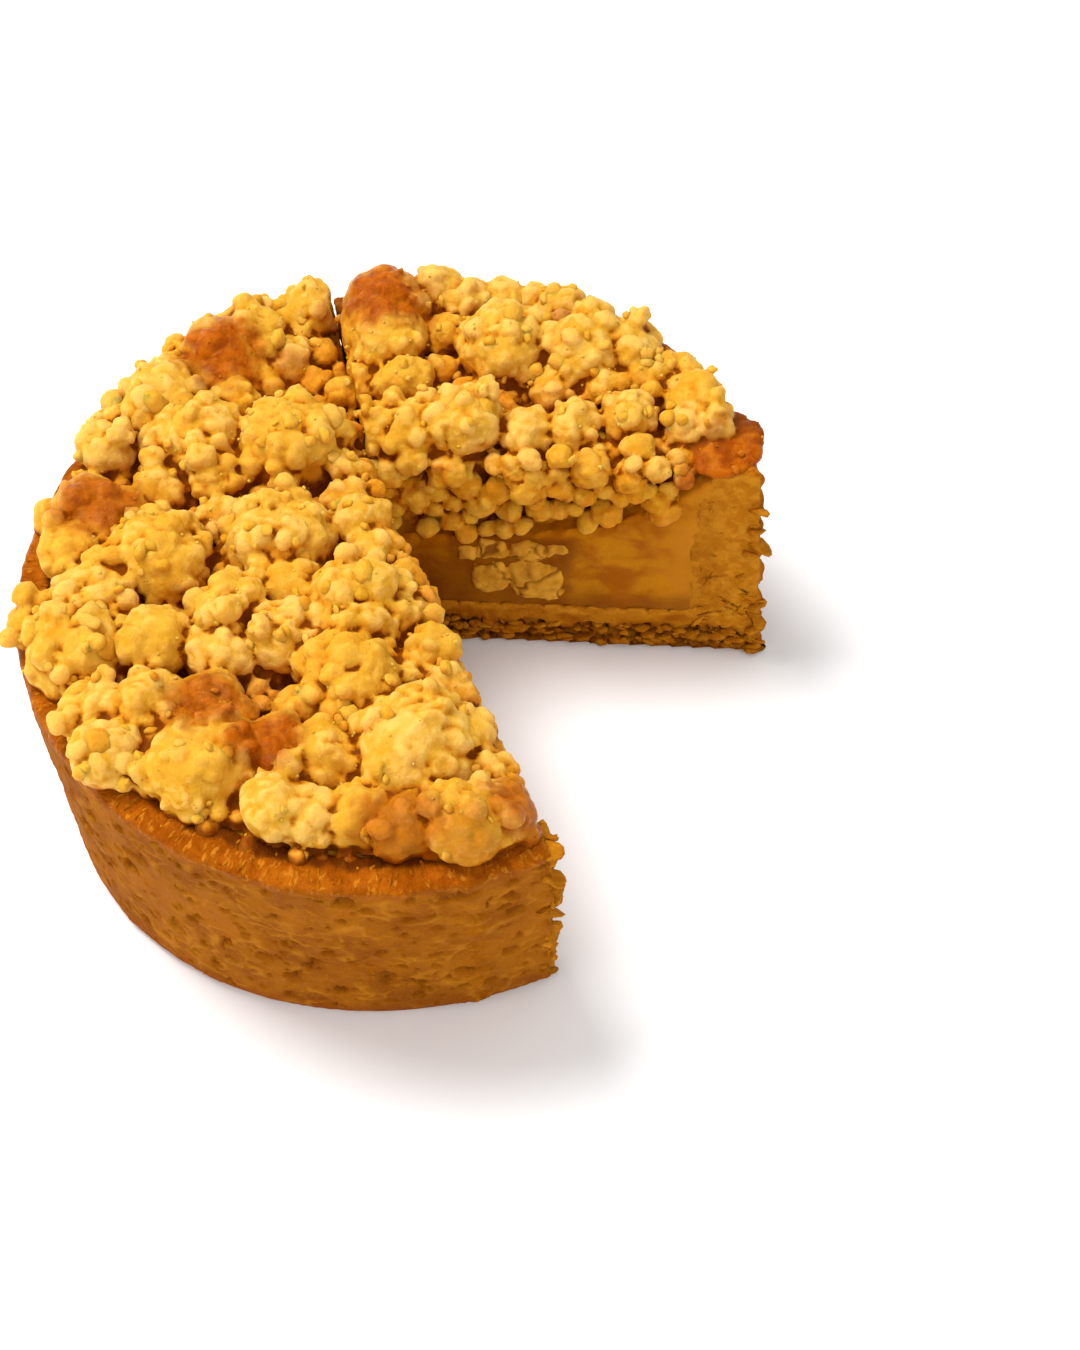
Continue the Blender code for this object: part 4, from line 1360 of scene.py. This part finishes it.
def marzipan(material):
    """Pale crumbly blocks with cracks between them, level with the cut face; their cracks and sunk
    parts get painted shade.
    """
    parts = []
    for index, (distance, height, half_width, half_height, sunk) in enumerate(BLOCKS):
        bm = bmesh.new()
        bmesh.ops.create_cube(bm, size=2.0)
        bmesh.ops.bevel(
            bm, geom=list(bm.edges), offset=0.5, segments=2, profile=0.5, affect="EDGES"
        )
        bmesh.ops.subdivide_edges(bm, edges=list(bm.edges), cuts=3, use_grid_fill=True)
        for vert in bm.verts:
            across = distance + vert.co.x * half_width
            rise = height + vert.co.z * half_height
            back = sunk + 2.0 + vert.co.y * 2.0
            across += 1.1 * noise.noise(Vector((across / 2.5, rise / 2.5, 0.5)))
            rise += noise.noise(Vector((across / 2.5, rise / 2.5, 9.5)))
            x, y = step(WEDGE_TIP, RIGHT_CUT, across)
            x, y = step((x, y), RIGHT_CUT + math.pi / 2, back)
            vert.co = (x * MM, y * MM, rise * MM)
        parts.append(object_from(bm, f"block {index}"))
    item = join(parts, "marzipan_blocks")
    even_skin(item, BLOCK_DETAIL, 9)
    points, normals = shape_of(item)
    near, far = cells(points + fields(points, 1.6, 44, 45, 46), 6.5, 43)
    crack = smooth_step(0.07, 0.02, far - near)
    push = field(points, 2.0, 41) * 0.26 + field(points, 0.8, 42) * 0.15 - 0.3 * crack
    move_points(item, points + normals * push[:, None])
    # Painted shade where the surface is pushed in: cracks and dips.
    set_value(item, "painted_shade", smooth_step(0.0, -0.35, push))
    finish_piece(item, "marzipan_chunk", material)


# Camera, light and floor

def stage():
    bm = bmesh.new()
    bmesh.ops.create_grid(bm, x_segments=8, y_segments=8, size=2.5)
    floor = object_from(bm, "floor")
    floor.location.z = -0.0002
    floor.data.materials.append(floor_finish())

    scene = bpy.context.scene
    scene.view_settings.view_transform = "Standard"
    world = bpy.data.worlds.new("studio")
    scene.world = world
    world.use_nodes = True
    back = world.node_tree.nodes["Background"]
    back.inputs["Color"].default_value = (1.0, 1.0, 1.0, 1.0)
    back.inputs["Strength"].default_value = ROOM_LIGHT
    for name, place, size, power in (
        ("key", (-0.35, 0.25, 0.95), 0.55, 10.9),
        ("front fill", (0.35, -0.9, 0.8), 0.9, 4.5),
        ("left fill", (-0.9, -0.35, 0.28), 0.6, 2.8),
    ):
        light = bpy.data.lights.new(name, "AREA")
        light.shape = "DISK"
        light.size = size
        light.energy = power
        lamp = new_object(name, light)
        lamp.location = place
        aim = Vector((0.0, 0.0, 0.03)) - Vector(place)
        lamp.rotation_euler = aim.to_track_quat("-Z", "Y").to_euler()

    pitch, yaw, roll = (math.radians(turn) for turn in (PITCH, YAW, ROLL))
    ahead = Vector((
        math.sin(yaw) * math.cos(pitch), math.cos(yaw) * math.cos(pitch), -math.sin(pitch)
    ))
    right = Vector((math.cos(yaw), -math.sin(yaw), 0.0))
    up = right.cross(ahead)
    side = math.cos(roll) * right + math.sin(roll) * up
    top = math.cos(roll) * up - math.sin(roll) * right
    matrix = Matrix((side, top, -ahead)).transposed().to_4x4()
    matrix.translation = Vector(EYE) * MM
    camera = new_object("camera", bpy.data.cameras.new("camera"))
    camera.data.lens = LENS
    camera.data.clip_start = 0.01
    camera.matrix_world = matrix
    scene.camera = camera


def main():
    stage()
    tree = balls_tree()
    golden = streusel_finish()
    baked = crust_finish()
    amber = filling_finish()

    draw = random.Random(SEED)
    rest = crust("crust_rest_baked", "crust_rest", REST_APEX, REST_SPAN, baked)
    cut = crust("crust_slice_baked", "crust_slice", SLICE_APEX, SLICE_SPAN, baked)
    crust_flakes(rest, cut, tree, baked, draw)
    filling("filling_rest_amber", "filling_rest", REST_APEX, REST_SPAN, amber)
    filling("filling_slice_amber", "filling_slice", SLICE_APEX, SLICE_SPAN, amber)
    marzipan(marzipan_finish())

    draw = random.Random(SEED)
    apex = inner_apex(REST_APEX, *REST_SPAN, from_first=0.4, from_last=2.0)
    bed = sweep("bed", apex, fan(apex, *REST_SPAN, 60), bed_section)
    groups = heap_balls(
        REST_CLUMPS, REST_FILMS, FRONT_CUT, 1, apex, REST_SPAN, crumbs=190, largest=2.9, draw=draw
    )
    groups += tip_balls(draw)
    for bare, length, count, largest, sunk in (
        (38.0, 70.0, 36, 4.0, 0.95), (1.0, 38.0, 44, 4.6, 1.1),
    ):
        groups += face_balls((), FRONT_CUT, -1, bare, length, count, largest, sunk, draw)
    rest = heap("streusel_rest_golden", "streusel_rest", bed, groups, FRONT_CUT, -1, tree, golden)
    rows = seated(loose_bumps(groups), rest, draw)
    rows += scattered(rest, 80, CRUMB_SIZES, 0.4, draw)
    loose_crumbs("streusel_rest_crumbs", rows, [rest], tree, golden, 2, 0.9, pale=0.25)

    apex = inner_apex(SLICE_APEX, *SLICE_SPAN, from_first=2.2, from_last=0.4)
    bed = sweep("bed", apex, fan(apex, *SLICE_SPAN, 40), bed_section)
    groups = heap_balls(
        SLICE_CLUMPS, SLICE_FILMS, RIGHT_CUT, -1, apex, SLICE_SPAN, crumbs=150, largest=3.2,
        draw=draw,
    )
    groups += face_balls(
        FACE_CRUMBS, RIGHT_CUT, 1, bare=1.0, length=44.0, count=17, largest=3.2, sunk=0.3,
        draw=draw,
    )
    cut = heap("streusel_slice_golden", "streusel_slice", bed, groups, RIGHT_CUT, 1, tree, golden)
    rows = seated(loose_bumps(groups), cut, draw)
    rows += scattered(cut, 50, CRUMB_SIZES, 0.4, draw)
    loose_crumbs("streusel_slice_crumbs", rows, [cut], tree, golden, 2, 0.9, pale=0.25)

    # Pale grains: small real granules, made paler than the crumbs as painted glints.
    rows = scattered(rest, 200, GRAIN_SIZES, 0.6, draw)
    rows += scattered(cut, 120, GRAIN_SIZES, 0.6, draw)
    loose_crumbs("streusel_grains_and_glints", rows, [rest, cut], tree, golden, 1, 0.3, pale=0.6)


main()
